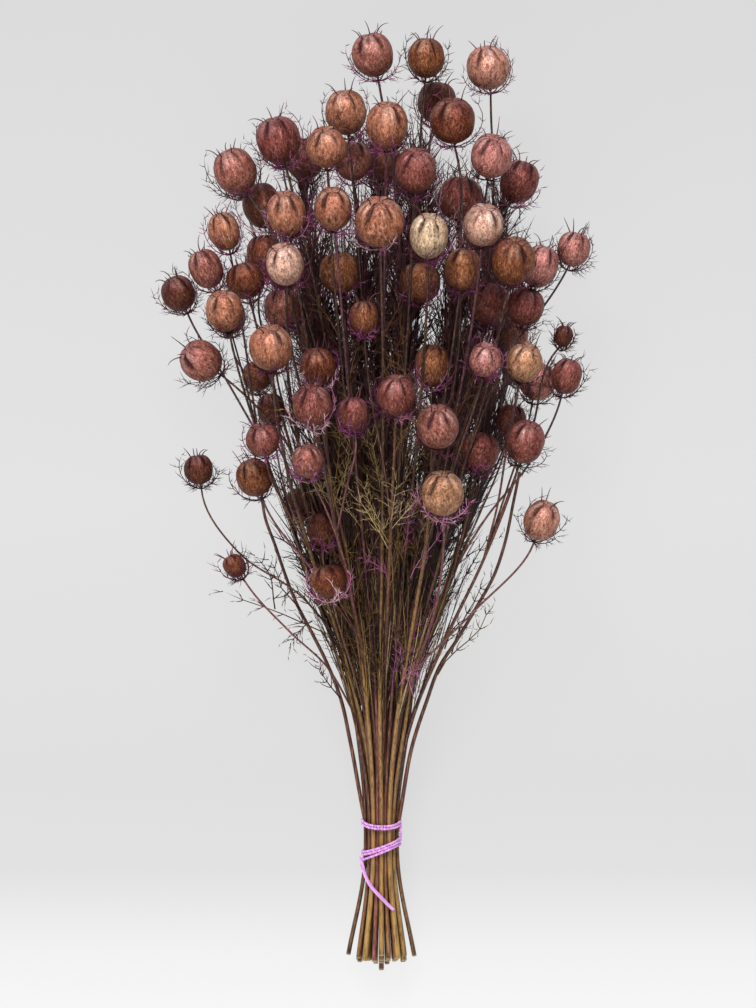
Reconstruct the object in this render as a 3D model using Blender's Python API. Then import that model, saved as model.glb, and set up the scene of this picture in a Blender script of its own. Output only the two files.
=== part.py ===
"""A tied bunch of dried nigella pods, lying on its side on the surface z = 0.

The bunch lies along Y, with its heads towards +Y and its cut ends towards -Y. Forty-three cut stems
run through one tie. Each carries a large pod at its end, and many fork into side stems with smaller
pods. Every pod has a crown of pointed styles and a ruff of thread-like bracts, and the stems carry
thread-like leaves. Each stem with what grows on it is one piece, and the tie round them is another.
"""

import math

import bmesh
import bpy
import numpy as np

MM = 0.001

# Real size: one step of the picture is this many metres, which makes the bunch 0.60 m long.
STEP = 0.637 * MM
CENTRE_ACROSS, CENTRE_ALONG = 375, 497  # the middle of the bunch in the picture

# The head is an egg-shaped mass of pods, flattened underneath where it lies.
HEAD_MIDDLE = 119 * MM
HEAD_HALF_LENGTH = 190 * MM
HEAD_HALF_WIDTH = 134 * MM
HEAD_LIFT = 92 * MM
HEAD_RISE = 78 * MM
NEAR_LAYERS = (-0.55, -0.12, 0.42, 0.95)  # how far up or down in the head the four layers lie

# The waist where the tie holds the stems, and the cut ends.
WAIST_TOP, WAIST_LOW, FOOT = -202 * MM, -234 * MM, -305.3 * MM
WAIST_LIFT, WAIST_RISE, FOOT_LIFT = 27 * MM, 2 * MM, 16 * MM
BUNDLE_ACROSS = 4 * MM  # the tie's middle lies this far to the right of the box's middle
STEM_COUNT = 43
STEM_PITCH = 3.02 * MM
CUT_RADIUS, STEM_RADIUS, TWIG_RADIUS, NECK_RADIUS = 1.65 * MM, 1.4 * MM, 0.8 * MM, 0.62 * MM
FOOT_SPREAD, FOOT_SPLAY, FOOT_WIDER = 1.25, 0.32, 0.47

SIDE_POD_WIDTH = 23.5 * MM  # pods narrower than this grow on side stems
GAP = 0.45 * MM
POD_GAP = 1.2 * MM
KNOT_STEP = 60 * MM
SINK = 2.5 * MM
SEED = 11

# Pods of the near side, read from the picture: across, along, width, length, layer, lean in degrees.
NEAR_PODS = (
    (373, 57, 41, 44, 2, -10), (426, 60, 37, 40, 2, 0), (488, 69, 43, 44, 2, -15),
    (437, 101, 39, 42, 0, 5), (452, 125, 45, 45, 3, -8), (346, 115, 41, 45, 2, -5),
    (387, 130, 42, 47, 3, 0), (279, 142, 44, 47, 2, -10), (327, 152, 40, 41, 3, 0),
    (304, 158, 38, 42, 0, 0), (353, 161, 36, 40, 1, 0), (236, 173, 42, 46, 2, -15),
    (490, 160, 41, 44, 3, 0), (519, 182, 38, 44, 1, 10), (415, 175, 41, 45, 3, 0),
    (384, 164, 38, 40, 0, 0), (460, 199, 44, 45, 1, 0), (262, 206, 38, 46, 1, -8),
    (296, 217, 38, 46, 3, 0), (331, 215, 37, 44, 3, 0), (374, 225, 48, 50, 3, 0),
    (225, 233, 31, 39, 2, -10), (428, 240, 38, 46, 3, 0), (483, 230, 40, 42, 3, 0),
    (573, 250, 33, 35, 2, 0), (511, 263, 43, 48, 3, 0), (539, 268, 36, 43, 2, 8),
    (462, 271, 36, 42, 2, 0), (286, 268, 37, 43, 3, -4), (264, 257, 35, 45, 1, 0),
    (206, 272, 33, 40, 2, -10), (181, 293, 34, 36, 2, -12), (245, 282, 38, 37, 2, -5),
    (340, 273, 41, 42, 1, 0), (420, 283, 41, 41, 1, 0), (226, 313, 37, 41, 3, -3),
    (283, 309, 38, 40, 1, 0), (364, 319, 28, 33, 2, 0), (489, 304, 42, 43, 1, 0),
    (525, 308, 36, 38, 2, 5), (511, 334, 37, 38, 0, 0), (563, 337, 18, 22, 2, 0),
    (203, 362, 40, 42, 3, -42), (272, 350, 43, 45, 3, 0), (318, 368, 36, 37, 2, 0),
    (432, 366, 35, 43, 1, 0), (484, 362, 32, 34, 3, 0), (523, 364, 36, 39, 3, 0),
    (538, 382, 36, 38, 1, 5), (566, 377, 30, 36, 2, 0), (256, 376, 29, 31, 0, 0),
    (271, 410, 28, 33, 1, -5), (396, 397, 38, 40, 3, 0), (313, 407, 39, 41, 3, 0),
    (354, 415, 30, 34, 2, 0), (437, 428, 42, 44, 3, 0), (511, 421, 30, 33, 1, 0),
    (524, 443, 38, 44, 3, 4), (480, 452, 38, 40, 1, 0), (264, 441, 33, 33, 3, -4),
    (255, 478, 36, 38, 2, -10), (308, 462, 31, 33, 3, 0), (199, 470, 29, 30, 2, 5),
    (442, 494, 42, 45, 3, -5), (541, 521, 36, 41, 3, 8), (235, 566, 22, 24, 2, -25),
    (328, 582, 36, 33, 2, -10), (321, 530, 29, 34, 1, 0), (317, 335, 38, 40, 0, 0),
    (300, 505, 30, 34, 0, 0), (480, 396, 35, 38, 0, 0),
)
# The far side, which the bunch lies on, has a pod under each of these near ones, counted from 0.
FAR_UNDER = (7, 14, 11, 6, 23, 18, 22, 25, 28, 35, 20, 43, 53, 52, 47, 55)
FAR_WIDTH, FAR_LENGTH = 35, 38

# A pod's rings: height and width as shares of its half length and half width, depth of the folds.
POD_SIDES = 10
POD_RINGS = ((-0.68, 0.74, 0.03), (0.12, 1.02, 0.07), (0.86, 0.6, 0.28))
HORN_LENGTH = 9.5 * MM
BRACTS, LEAVES = 2, 1
THREAD_RADIUS = 0.5 * MM
SIDE_LIMIT, TOP_LIMIT = 136 * MM, 300.5 * MM

# The tie: a wide lower wrap and a narrow upper one, the run between them and a loose tail.
WRAP_THICK = 0.7 * MM
LOW_WRAP, LOW_HALF, LOW_TILT = -223 * MM, 3.1 * MM, 3.9 * MM
HIGH_WRAP, HIGH_HALF, HIGH_SAG = -207.5 * MM, 1.5 * MM, 2.4 * MM
TAIL = ((-8.9, -236), (-3.2, -247), (5.1, -256), (12.1, -263))  # across and along, in mm
TAIL_HALF, TAIL_LIFT = 1.1 * MM, 1.2 * MM
WRAP_SIDES = 18

COLOURS = ((0.30, 0.115, 0.07), (0.34, 0.13, 0.135), (0.36, 0.20, 0.10))
LILAC = (0.78, 0.27, 0.80)
ROUGHNESS = 0.55


def unit(vectors):
    """Vectors scaled to length 1."""
    return vectors / np.linalg.norm(vectors, axis=-1, keepdims=True)


def place_pods(draw):
    """The pods' middles, half widths, half lengths and directions, before they settle."""
    near = np.array(NEAR_PODS, float)
    far = near[list(FAR_UNDER)].copy()
    far[:, 2:6] = (FAR_WIDTH, FAR_LENGTH, -1, 0)
    read = np.concatenate([near, far])
    across = (read[:, 0] - CENTRE_ACROSS) * STEP
    along = (CENTRE_ALONG - read[:, 1]) * STEP
    half_width, half_length = read[:, 2] * STEP / 2, read[:, 3] * STEP / 2
    inside = 1 - (across / HEAD_HALF_WIDTH) ** 2 - ((along - HEAD_MIDDLE) / HEAD_HALF_LENGTH) ** 2
    swell = np.sqrt(np.maximum(inside, 0.04))
    level = np.where(read[:, 4] < 0, -1.0, np.array(NEAR_LAYERS)[read[:, 4].astype(int)])
    level += draw.uniform(-0.04, 0.04, len(read))
    height = HEAD_LIFT + level * swell * HEAD_RISE
    middle = np.stack([across, along, height], 1)
    lean = np.radians(read[:, 5]) + draw.uniform(-0.06, 0.06, len(read))
    nod = 0.5 * np.clip(level, -0.3, 1) + draw.uniform(-0.1, 0.1, len(read))
    lean += 0.25 * across / HEAD_HALF_WIDTH
    direction = unit(np.stack([np.sin(lean), np.cos(lean), np.tan(nod)], 1))
    rests = read[:, 4] < 0
    return middle, half_width, half_length, direction, rests


def settle_pods(middle, half_width, half_length, direction, rests):
    """Moves the pods apart, mostly up and down, until none touch, and sets the far ones down."""
    reach = np.maximum(half_width, half_length)
    flat = np.sqrt(half_width**2 * (1 - direction[:, 2] ** 2) + (half_length * direction[:, 2]) ** 2)
    resting_height = flat - 0.9 * MM
    need = reach[:, None] + reach[None] + POD_GAP
    np.fill_diagonal(need, 0)
    give = np.array([0.35, 0.35, 1.0])
    for _ in range(400):
        middle[rests, 2] = resting_height[rests]
        middle[:, 2] = np.maximum(middle[:, 2], resting_height + 0.9 * MM * ~rests)
        apart = middle[:, None] - middle[None]
        distance = np.linalg.norm(apart, axis=2)
        short = np.maximum(need - distance, 0)
        away = apart * give
        away /= np.maximum(np.linalg.norm(away, axis=2, keepdims=True), 1e-9)
        middle = middle + 0.4 * (away * short[..., None]).sum(1)
    middle[rests, 2] = resting_height[rests]
    return middle


def stem_slots():
    """The places of the stems in the tie: the points of a triangular grid nearest the middle."""
    steps = np.arange(-5, 6)
    i, j = (grid.ravel() for grid in np.meshgrid(steps, steps))
    grid = np.stack([math.sqrt(0.75) * j, i + 0.5 * j], 1) * STEM_PITCH
    order = np.lexsort((grid[:, 0], grid[:, 1], np.round(np.hypot(*grid.T), 6)))
    return grid[order[:STEM_COUNT]]


def match_slots(slots, targets):
    """Which slot feeds which pod: slots change places while that shortens the stems."""
    scale = np.abs(slots).mean() / np.abs(targets).mean()
    cost = ((slots[:, None] - targets[None] * scale) ** 2).sum(2)
    chosen = np.arange(len(targets))
    changed = True
    while changed:
        changed = False
        for a in range(len(chosen)):
            for b in range(a + 1, len(chosen)):
                now = cost[chosen[a], a] + cost[chosen[b], b]
                if cost[chosen[b], a] + cost[chosen[a], b] < now - 1e-12:
                    chosen[a], chosen[b] = chosen[b], chosen[a]
                    changed = True
    return chosen


def smooth_run(start, start_way, end, end_way, count):
    """Points on a cubic curve from start to end, leaving and arriving in the given directions."""
    length = np.linalg.norm(end - start)
    t = np.linspace(0, 1, count)[:, None]
    return (
        (2 * t**3 - 3 * t**2 + 1) * start
        + (t**3 - 2 * t**2 + t) * length * start_way
        + (3 * t**2 - 2 * t**3) * end
        + (t**3 - t**2) * length * end_way
    )


def main_stems(middle, half_length, direction, carriers, draw):
    """The stems through the tie, as lists of points from the cut end to inside the pod."""
    slots = stem_slots()
    lift = middle[carriers, 2].mean()
    targets = np.stack([middle[carriers, 0] - BUNDLE_ACROSS, middle[carriers, 2] - lift], 1)
    chosen = match_slots(slots, targets)
    outline = np.hypot(*slots.T).max()
    runs = []
    for pod, slot in zip(carriers, slots[chosen]):
        share = np.hypot(*slot) / outline
        spread = FOOT_SPREAD + FOOT_SPLAY * share**2
        end = FOOT + (draw.uniform(0, 5) + 6) * MM * math.sqrt(share)
        aside = BUNDLE_ACROSS + slot[0] * (spread + FOOT_WIDER * share)
        foot = np.array([aside, end, FOOT_LIFT + slot[1] * spread])
        low = np.array([BUNDLE_ACROSS + slot[0], WAIST_LOW, WAIST_LIFT + slot[1]])
        top = low + np.array([0, WAIST_TOP - WAIST_LOW, WAIST_RISE])
        way = unit(np.array([slot[0] * 9, 1, 0.13 + slot[1] * 9]))
        neck = middle[pod] - direction[pod] * (half_length[pod] + 12 * MM)
        root = middle[pod] - direction[pod] * (half_length[pod] - SINK)
        count = max(4, round(np.linalg.norm(neck - top) / KNOT_STEP) + 1)
        run = smooth_run(top, way, neck, direction[pod], count)
        runs.append(np.concatenate([[foot, low], run, [root]]))
    return runs


def side_stems(middle, half_length, direction, twigs, runs, carriers):
    """The side stems: each leaves the nearest stem well below its pod. Gives runs and forks."""
    side, forks = [], []
    load = np.zeros(len(carriers), int)
    for pod in twigs:
        neck = middle[pod] - direction[pod] * (half_length[pod] + 8 * MM)
        root = middle[pod] - direction[pod] * (half_length[pod] - SINK)
        best = None
        for parent, run in enumerate(runs):
            for knot in range(3, len(run) - 2):
                drop = neck[1] - run[knot, 1]
                aside = np.hypot(neck[0] - run[knot, 0], neck[2] - run[knot, 2])
                if drop < 38 * MM or aside > 1.15 * drop:
                    continue
                cost = aside + 0.25 * abs(drop - 80 * MM) + load[parent] * 9 * MM
                if best is None or cost < best[0]:
                    best = (cost, parent, knot)
        _, parent, knot = best
        load[parent] += 1
        start, run = runs[parent][knot], runs[parent]
        way = unit(unit(run[knot + 1] - run[knot - 1]) + 0.5 * unit(neck - start))
        count = max(3, round(np.linalg.norm(neck - start) / (0.75 * KNOT_STEP)) + 1)
        side.append(np.concatenate([smooth_run(start, way, neck, direction[pod], count), [root]]))
        forks.append((parent, knot))
    return side, forks


def nearest(p, q, u, v):
    """Shares along segments p-q and u-v at which they come closest, for arrays of segments."""
    first, second, between = q - p, v - u, p - u
    a, e = (first * first).sum(-1), (second * second).sum(-1)
    b, c, f = (first * second).sum(-1), (first * between).sum(-1), (second * between).sum(-1)
    det = a * e - b * b
    s = np.clip(np.where(det > 1e-9 * a * e, (b * f - c * e) / np.maximum(det, 1e-18), 0.5), 0, 1)
    t = np.clip((b * s + f) / e, 0, 1)
    s = np.clip((b * t - c) / a, 0, 1)
    return s, t


class Skeleton:
    """Every stem as one array of knots, with what each segment and pod belongs to."""

    def __init__(self):
        draw = np.random.default_rng(SEED)
        pods = place_pods(draw)
        self.middle = settle_pods(*pods)
        _, self.half_width, self.half_length, self.direction, self.rests = pods
        narrow = (2 * self.half_width < SIDE_POD_WIDTH) | self.rests
        large = np.argsort(-self.half_width + 1.0 * narrow, kind="stable")
        carriers, twigs = np.sort(large[:STEM_COUNT]), np.sort(large[STEM_COUNT:])
        runs = main_stems(self.middle, self.half_length, self.direction, carriers, draw)
        side, forks = side_stems(
            self.middle, self.half_length, self.direction, twigs, runs, carriers
        )
        self.pod_of = np.concatenate([carriers, twigs])
        self.stem_of = np.array(list(range(STEM_COUNT)) + [parent for parent, _ in forks])
        self.runs = runs + side
        self.starts = np.cumsum([0] + [len(run) for run in self.runs])
        self.knots = np.concatenate(self.runs)
        self.fork_child = self.starts[STEM_COUNT:-1]
        self.fork_parent = np.array([self.starts[parent] + knot for parent, knot in forks])
        self.radius = np.concatenate([self.run_radius(i) for i in range(len(self.runs))])
        strand = np.repeat(np.arange(len(self.runs)), [len(run) for run in self.runs])
        first = np.arange(len(self.knots) - 1)
        self.first = first[strand[first] == strand[first + 1]]
        self.strand = strand[self.first]
        self.node = self.stem_of[self.strand]
        self.place = self.first - self.starts[self.strand]
        self.pod_node = np.empty(len(self.middle), int)
        self.pod_node[self.pod_of] = self.stem_of

    def run_radius(self, index):
        """A stem's radius at each knot: it thins from the cut end, or the fork, to the pod."""
        count = len(self.runs[index])
        if index < STEM_COUNT:
            thick = np.linspace(STEM_RADIUS, TWIG_RADIUS, count - 3)
            return np.concatenate([[CUT_RADIUS, STEM_RADIUS], thick, [NECK_RADIUS]])
        return np.linspace(0.85 * TWIG_RADIUS, NECK_RADIUS, count)

    def part_stems(self):
        """Pushes the stems clear of each other and of the pods, and keeps each curve smooth."""
        knots, first = self.knots, self.first
        held = np.zeros(len(knots), bool)
        for index, start in enumerate(self.starts[:-1]):
            held[start : start + (3 if index < STEM_COUNT else 1)] = True
            held[self.starts[index + 1] - 1] = True
        home = knots.copy()
        inner = np.zeros(len(knots), bool)
        inner[1:-1] = ~held[1:-1]
        reach = np.maximum(self.half_width, self.half_length)
        own_pod = self.pod_of[self.strand][:, None] == np.arange(len(self.middle))[None]
        crown = self.middle + self.direction * (1.3 * self.half_length)[:, None]
        spheres = np.concatenate([self.middle, crown])
        sphere_radius = np.concatenate([reach, 0.45 * reach])
        own = np.concatenate([own_pod, own_pod], 1)
        for step in range(260):
            if step % 20 == 0:
                pairs = self.near_pairs(knots)
            shift = np.zeros_like(knots)
            self.push_segments(knots, pairs, shift)
            a, b = knots[first], knots[first + 1]
            way = b - a
            t = ((spheres[None] - a[:, None]) * way[:, None]).sum(2) / (way**2).sum(1)[:, None]
            t = np.clip(t, 0, 1)
            gap = a[:, None] + t[..., None] * way[:, None] - spheres[None]
            distance = np.linalg.norm(gap, axis=2)
            thick = self.radius[first][:, None]
            short = np.maximum(sphere_radius[None] + thick + GAP - distance, 0) * ~own
            push = gap / np.maximum(distance, 1e-6)[..., None] * short[..., None]
            np.add.at(shift, first, (push * (1 - t)[..., None]).sum(1))
            np.add.at(shift, first + 1, (push * t[..., None]).sum(1))
            shift[held] = 0
            knots = knots + 0.6 * shift
            moved = knots - home
            middle_of = np.zeros_like(moved)
            middle_of[1:-1] = (moved[2:] + moved[:-2]) / 2 - moved[1:-1]
            if step < 200:
                knots[inner] += 0.12 * middle_of[inner]
            knots[:, 2] = np.maximum(knots[:, 2], self.radius + 0.3 * MM)
            knots[self.fork_child] = knots[self.fork_parent]
        self.knots = knots

    def pod_foot(self, pod):
        """The last two knots of the stem that carries a pod: one below it and one inside it."""
        end = self.starts[np.nonzero(self.pod_of == pod)[0][0] + 1]
        return self.knots[end - 2], self.knots[end - 1]

    def near_pairs(self, knots):
        """Pairs of segments of different stems that could meet in the next few steps."""
        a, b = knots[self.first], knots[self.first + 1]
        half = np.linalg.norm(b - a, axis=1) / 2
        centre = (a + b) / 2
        distance = np.linalg.norm(centre[:, None] - centre[None], axis=2)
        i, j = np.nonzero(np.triu(distance < half[:, None] + half[None] + 12 * MM, 1))
        other = self.strand[i] != self.strand[j]
        same = self.node[i] == self.node[j]
        young = (self.place[i] < 2) & (self.strand[i] >= STEM_COUNT)
        young |= (self.place[j] < 2) & (self.strand[j] >= STEM_COUNT)
        keep = other & ~(same & young)
        return i[keep], j[keep]

    def push_segments(self, knots, pairs, shift):
        """Adds to shift what parts each pair of segments that is too close."""
        i, j = self.first[pairs[0]], self.first[pairs[1]]
        s, t = nearest(knots[i], knots[i + 1], knots[j], knots[j + 1])
        s, t = s[:, None], t[:, None]
        gap = knots[i] * (1 - s) + knots[i + 1] * s - knots[j] * (1 - t) - knots[j + 1] * t
        distance = np.linalg.norm(gap, axis=1, keepdims=True)
        need = self.radius[i] + self.radius[j] + GAP
        short = np.maximum(need[:, None] - distance, 0)
        gap = np.where(distance > 1e-6, gap, (0, 0, 1e-6))
        push = 0.5 * short * gap / np.maximum(distance, 1e-6)
        np.add.at(shift, i, push * (1 - s))
        np.add.at(shift, i + 1, push * s)
        np.add.at(shift, j, -push * (1 - t))
        np.add.at(shift, j + 1, -push * t)


class Room:
    """What a new thread must keep clear of: pods, and segments of stems, horns and other threads."""

    def __init__(self, skeleton):
        self.pods = skeleton
        self.start = skeleton.knots[skeleton.first]
        self.end = skeleton.knots[skeleton.first + 1]
        self.radius = skeleton.radius[skeleton.first]
        self.node = skeleton.node

    def is_free(self, points, radius, node, own_pod):
        """Whether a run of points, as thick as the given radius, touches nothing of another node."""
        if points[:, 2].min() < radius + 0.3 * MM or points[:, 1].max() > TOP_LIMIT:
            return False
        if abs(points[:, 0]).max() > SIDE_LIMIT:
            return False
        p, q = points[:-1, None], points[1:, None]
        near = self.node != node
        s, t = nearest(p, q, self.start[near][None], self.end[near][None])
        s, t = s[..., None], t[..., None]
        gap = p * (1 - s) + q * s - self.start[near] * (1 - t) - self.end[near] * t
        if (np.linalg.norm(gap, axis=2) < self.radius[near] + radius + GAP).any():
            return False
        share = np.linspace(0, 1, 7)[:, None, None]
        along = (points[:-1] * (1 - share) + points[1:] * share).reshape(-1, 3)
        away = along[:, None] - self.pods.middle[None]
        up = (away * self.pods.direction).sum(2)
        out = np.sqrt(np.maximum((away**2).sum(2) - up**2, 0))
        width, length = self.pods.half_width, self.pods.half_length
        margin = radius + GAP
        within = (up / (length + margin)) ** 2 + (out / (width + margin)) ** 2 < 1
        within[:, own_pod] = False
        return not within.any()

    def take(self, points, radius, node):
        """Counts a run of points as something to keep clear of."""
        self.start = np.concatenate([self.start, points[:-1]])
        self.end = np.concatenate([self.end, points[1:]])
        self.radius = np.concatenate([self.radius, np.full(len(points) - 1, radius)])
        self.node = np.concatenate([self.node, np.full(len(points) - 1, node)])


def axes_of(direction):
    """Two directions at right angles to the given one: the first points down as far as it can."""
    down = unit(np.array([0, 0, -1.0]) + direction * direction[2])
    return down, np.cross(direction, down)


def around(direction, angle):
    """The direction across the given one at an angle from its underside."""
    down, side = axes_of(direction)
    return math.cos(angle) * down + math.sin(angle) * side


def horn_tips(skeleton, room, pod, draw):
    """Where the five styles of a pod end: as long and as upright as the pods round them allow."""
    middle, direction = skeleton.middle[pod], skeleton.direction[pod]
    width, length = skeleton.half_width[pod], skeleton.half_length[pod]
    tips = []
    for fold in range(5):
        angle = 2 * math.pi * fold / 5 + draw.uniform(-0.12, 0.12)
        out = around(direction, angle)
        rim = middle + direction * 0.86 * length + out * 0.45 * width
        splay = draw.uniform(0.15, 0.75)
        for share in (1, 0.8, 0.6, 0.45, 0.3):
            reach = share * HORN_LENGTH * width / (12 * MM)
            tip = rim + reach * (math.cos(splay) * direction + math.sin(splay) * out)
            if room.is_free(np.stack([rim, tip]), 0.8 * MM, skeleton.pod_node[pod], pod):
                break
            splay *= 0.8
        room.take(np.stack([rim, tip]), 0.8 * MM, skeleton.pod_node[pod])
        tips.append(tip)
    return tips


def bract_runs(skeleton, room, pod, draw):
    """The threads of a pod's ruff: each leaves the stem under the pod and rises beside the pod."""
    middle, direction = skeleton.middle[pod], skeleton.direction[pod]
    width, length = skeleton.half_width[pod], skeleton.half_length[pod]
    node, runs = skeleton.pod_node[pod], []
    neck, inner = skeleton.pod_foot(pod)
    root = inner + unit(neck - inner) * (SINK + 2.2 * MM)
    first = draw.uniform(0, 2 * math.pi)
    wanted = 1 if skeleton.rests[pod] else BRACTS
    for trial in range(24):
        angle = first + trial * 2.4
        out = around(direction, angle)
        spread = (1.3, 1.2, 1.16)[trial // 8] + draw.uniform(-0.02, 0.08)
        rise = (1.15, 0.9, 0.5)[trial // 8] + draw.uniform(-0.1, 0.25)
        elbow = middle + out * spread * width - direction * 0.6 * length
        tip = middle + out * (spread + 0.1) * width + direction * rise * length
        run = np.stack([root, elbow, tip])
        if room.is_free(run, THREAD_RADIUS, node, pod):
            room.take(run, THREAD_RADIUS, node)
            runs.append(run)
            if len(runs) == wanted:
                break
    return runs


def leaf_runs(skeleton, room, stem, draw):
    """The leaf threads of a stem: needles that leave its joints and lean towards the head."""
    run = skeleton.knots[skeleton.starts[stem] : skeleton.starts[stem + 1]]
    runs = []
    for trial in range(30):
        knot = draw.integers(3, len(run) - 2)
        way = unit(run[knot + 1] - run[knot])
        out = around(way, draw.uniform(0, 2 * math.pi))
        reach = draw.uniform(20, 34) * MM
        tip = run[knot] + reach * unit(way + out * draw.uniform(0.35, 0.8))
        needle = np.stack([run[knot], tip])
        if room.is_free(needle, THREAD_RADIUS, stem, []):
            room.take(needle, THREAD_RADIUS, stem)
            runs.append(needle)
            if len(runs) == LEAVES:
                break
    return runs


def add_body(name, points, faces, group):
    """One closed body as an object in the given collection."""
    mesh = bpy.data.meshes.new(name)
    mesh.from_pydata(np.asarray(points).tolist(), [], faces)
    work = bmesh.new()
    work.from_mesh(mesh)
    bmesh.ops.recalc_face_normals(work, faces=work.faces[:])
    work.to_mesh(mesh)
    work.free()
    body = bpy.data.objects.new(name, mesh)
    group.objects.link(body)
    return body


def add_pod(skeleton, pod, tips, group):
    """A pod of ten sides in five folds that deepen towards the crown, where each ends in a style."""
    middle, direction = skeleton.middle[pod], skeleton.direction[pod]
    width, length = skeleton.half_width[pod], skeleton.half_length[pod]
    points, faces = [middle - direction * length], []
    for height, swell, groove in POD_RINGS:
        for side in range(POD_SIDES):
            out = around(direction, 2 * math.pi * side / POD_SIDES)
            radius = swell * (1 - groove * (side % 2)) * width
            points.append(middle + direction * height * length + out * radius)
    centre = len(points)
    points.append(middle + direction * 0.66 * length)
    points.extend(tips)
    for side in range(POD_SIDES):
        after = (side + 1) % POD_SIDES
        faces.append((0, 1 + after, 1 + side))
        for ring in range(len(POD_RINGS) - 1):
            low = 1 + ring * POD_SIDES
            high = low + POD_SIDES
            faces.append((low + side, low + after, high + side))
            faces.append((low + after, high + after, high + side))
    crown = centre - POD_SIDES
    for fold in range(5):
        before, ridge, after = (crown + (2 * fold + turn) % POD_SIDES for turn in (-1, 0, 1))
        tip = centre + 1 + fold
        faces += [(centre, before, tip), (before, ridge, tip), (ridge, after, tip)]
        faces.append((after, centre, tip))
    return add_body("pod", points, faces, group)


def add_thread(points, radii, group):
    """A three-sided strand along a run of points; a radius of 0 at its end gives it a sharp tip."""
    way = np.gradient(points, axis=0)
    side = unit(np.cross(unit(way[0]), (0.31, 0.17, 0.94)))
    rings, faces = [], []
    for point, radius, forward in zip(points, radii, unit(way)):
        side = unit(side - forward * side.dot(forward))
        across = np.cross(forward, side)
        if radius == 0:
            rings.append(point)
            continue
        for angle in (0, 2 * math.pi / 3, 4 * math.pi / 3):
            rings.append(point + radius * (math.cos(angle) * side + math.sin(angle) * across))
    faces.append((2, 1, 0))
    for ring in range(len(points) - 1):
        low = 3 * ring
        for a, b in ((0, 1), (1, 2), (2, 0)):
            if ring == len(points) - 2 and radii[-1] == 0:
                faces.append((low + a, low + b, low + 3))
            else:
                faces.append((low + a, low + b, low + 3 + a))
                faces.append((low + b, low + 3 + b, low + 3 + a))
    if radii[-1] != 0:
        faces.append(tuple(len(rings) - 3 + turn for turn in range(3)))
    return add_body("thread", rings, faces, group)


def fuse(name, group, colour):
    """Unites the bodies of a collection into one object, and removes them."""
    bodies = list(group.objects)
    core = bodies[0]
    group.objects.unlink(core)
    bpy.context.scene.collection.objects.link(core)
    if len(bodies) > 1:
        # The exact solver leaves an open edge on one of these stems, so the manifold one is used.
        union = core.modifiers.new("union", "BOOLEAN")
        union.operation, union.operand_type, union.solver = "UNION", "COLLECTION", "MANIFOLD"
        union.collection = group
        bpy.context.view_layer.update()
        graph = bpy.context.evaluated_depsgraph_get()
        fused = bpy.data.meshes.new_from_object(core.evaluated_get(graph))
        core.modifiers.clear()
        core.data = fused
        for body in bodies[1:]:
            bpy.data.objects.remove(body)
    core.name = name
    core.data.name = name
    paint(core, colour)
    bpy.data.collections.remove(group)
    return core


def paint(body, colour):
    """A plain dyed surface in one colour."""
    body.data.materials.clear()
    material = bpy.data.materials.new(body.name)
    material.use_nodes = True
    shader = material.node_tree.nodes["Principled BSDF"]
    shader.inputs["Base Color"].default_value = (*colour, 1)
    shader.inputs["Roughness"].default_value = ROUGHNESS
    body.data.materials.append(material)


def set_down(body):
    """Cuts off what lies under the surface z = 0, so that a resting pod has a small flat spot."""
    work = bmesh.new()
    work.from_mesh(body.data)
    everything = work.verts[:] + work.edges[:] + work.faces[:]
    cut = bmesh.ops.bisect_plane(
        work, geom=everything, plane_co=(0, 0, 0), plane_no=(0, 0, 1), clear_inner=True
    )
    edges = [item for item in cut["geom_cut"] if isinstance(item, bmesh.types.BMEdge)]
    bmesh.ops.edgeloop_fill(work, edges=edges)
    bmesh.ops.recalc_face_normals(work, faces=work.faces[:])
    work.to_mesh(body.data)
    work.free()


def build_stem(skeleton, room, stem, dressing):
    """One cut stem with its side stems, pods, ruffs and leaf threads, fused into one solid."""
    group = bpy.data.collections.new("stem")
    bpy.context.scene.collection.children.link(group)
    for strand in np.nonzero(skeleton.stem_of == stem)[0]:
        run = slice(skeleton.starts[strand], skeleton.starts[strand + 1])
        add_thread(skeleton.knots[run], skeleton.radius[run], group)
        pod = skeleton.pod_of[strand]
        body = add_pod(skeleton, pod, dressing["tips"][pod], group)
        if skeleton.rests[pod]:
            set_down(body)
        for bract in dressing["bracts"][pod]:
            add_thread(bract, (THREAD_RADIUS, 0.8 * THREAD_RADIUS, 0), group)
    for needle in dressing["leaves"][stem]:
        add_thread(needle, (THREAD_RADIUS, 0), group)
    return fuse(f"stem_{stem + 1:02}", group, COLOURS[stem % len(COLOURS)])


def bundle_at(along):
    """The height of the bundle's middle, and its radius, at a place along it between tie and foot."""
    share = (along - WAIST_LOW) / (FOOT - WAIST_LOW)
    rim = np.hypot(*stem_slots().T).max()
    if share <= 0:
        rise = WAIST_RISE * (along - WAIST_LOW) / (WAIST_TOP - WAIST_LOW)
        return WAIST_LIFT + rise, rim + STEM_RADIUS
    lift = WAIST_LIFT + share * (FOOT_LIFT - WAIST_LIFT)
    return lift, rim * (1 + share * (FOOT_SPREAD + FOOT_SPLAY - 1)) + STEM_RADIUS


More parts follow.
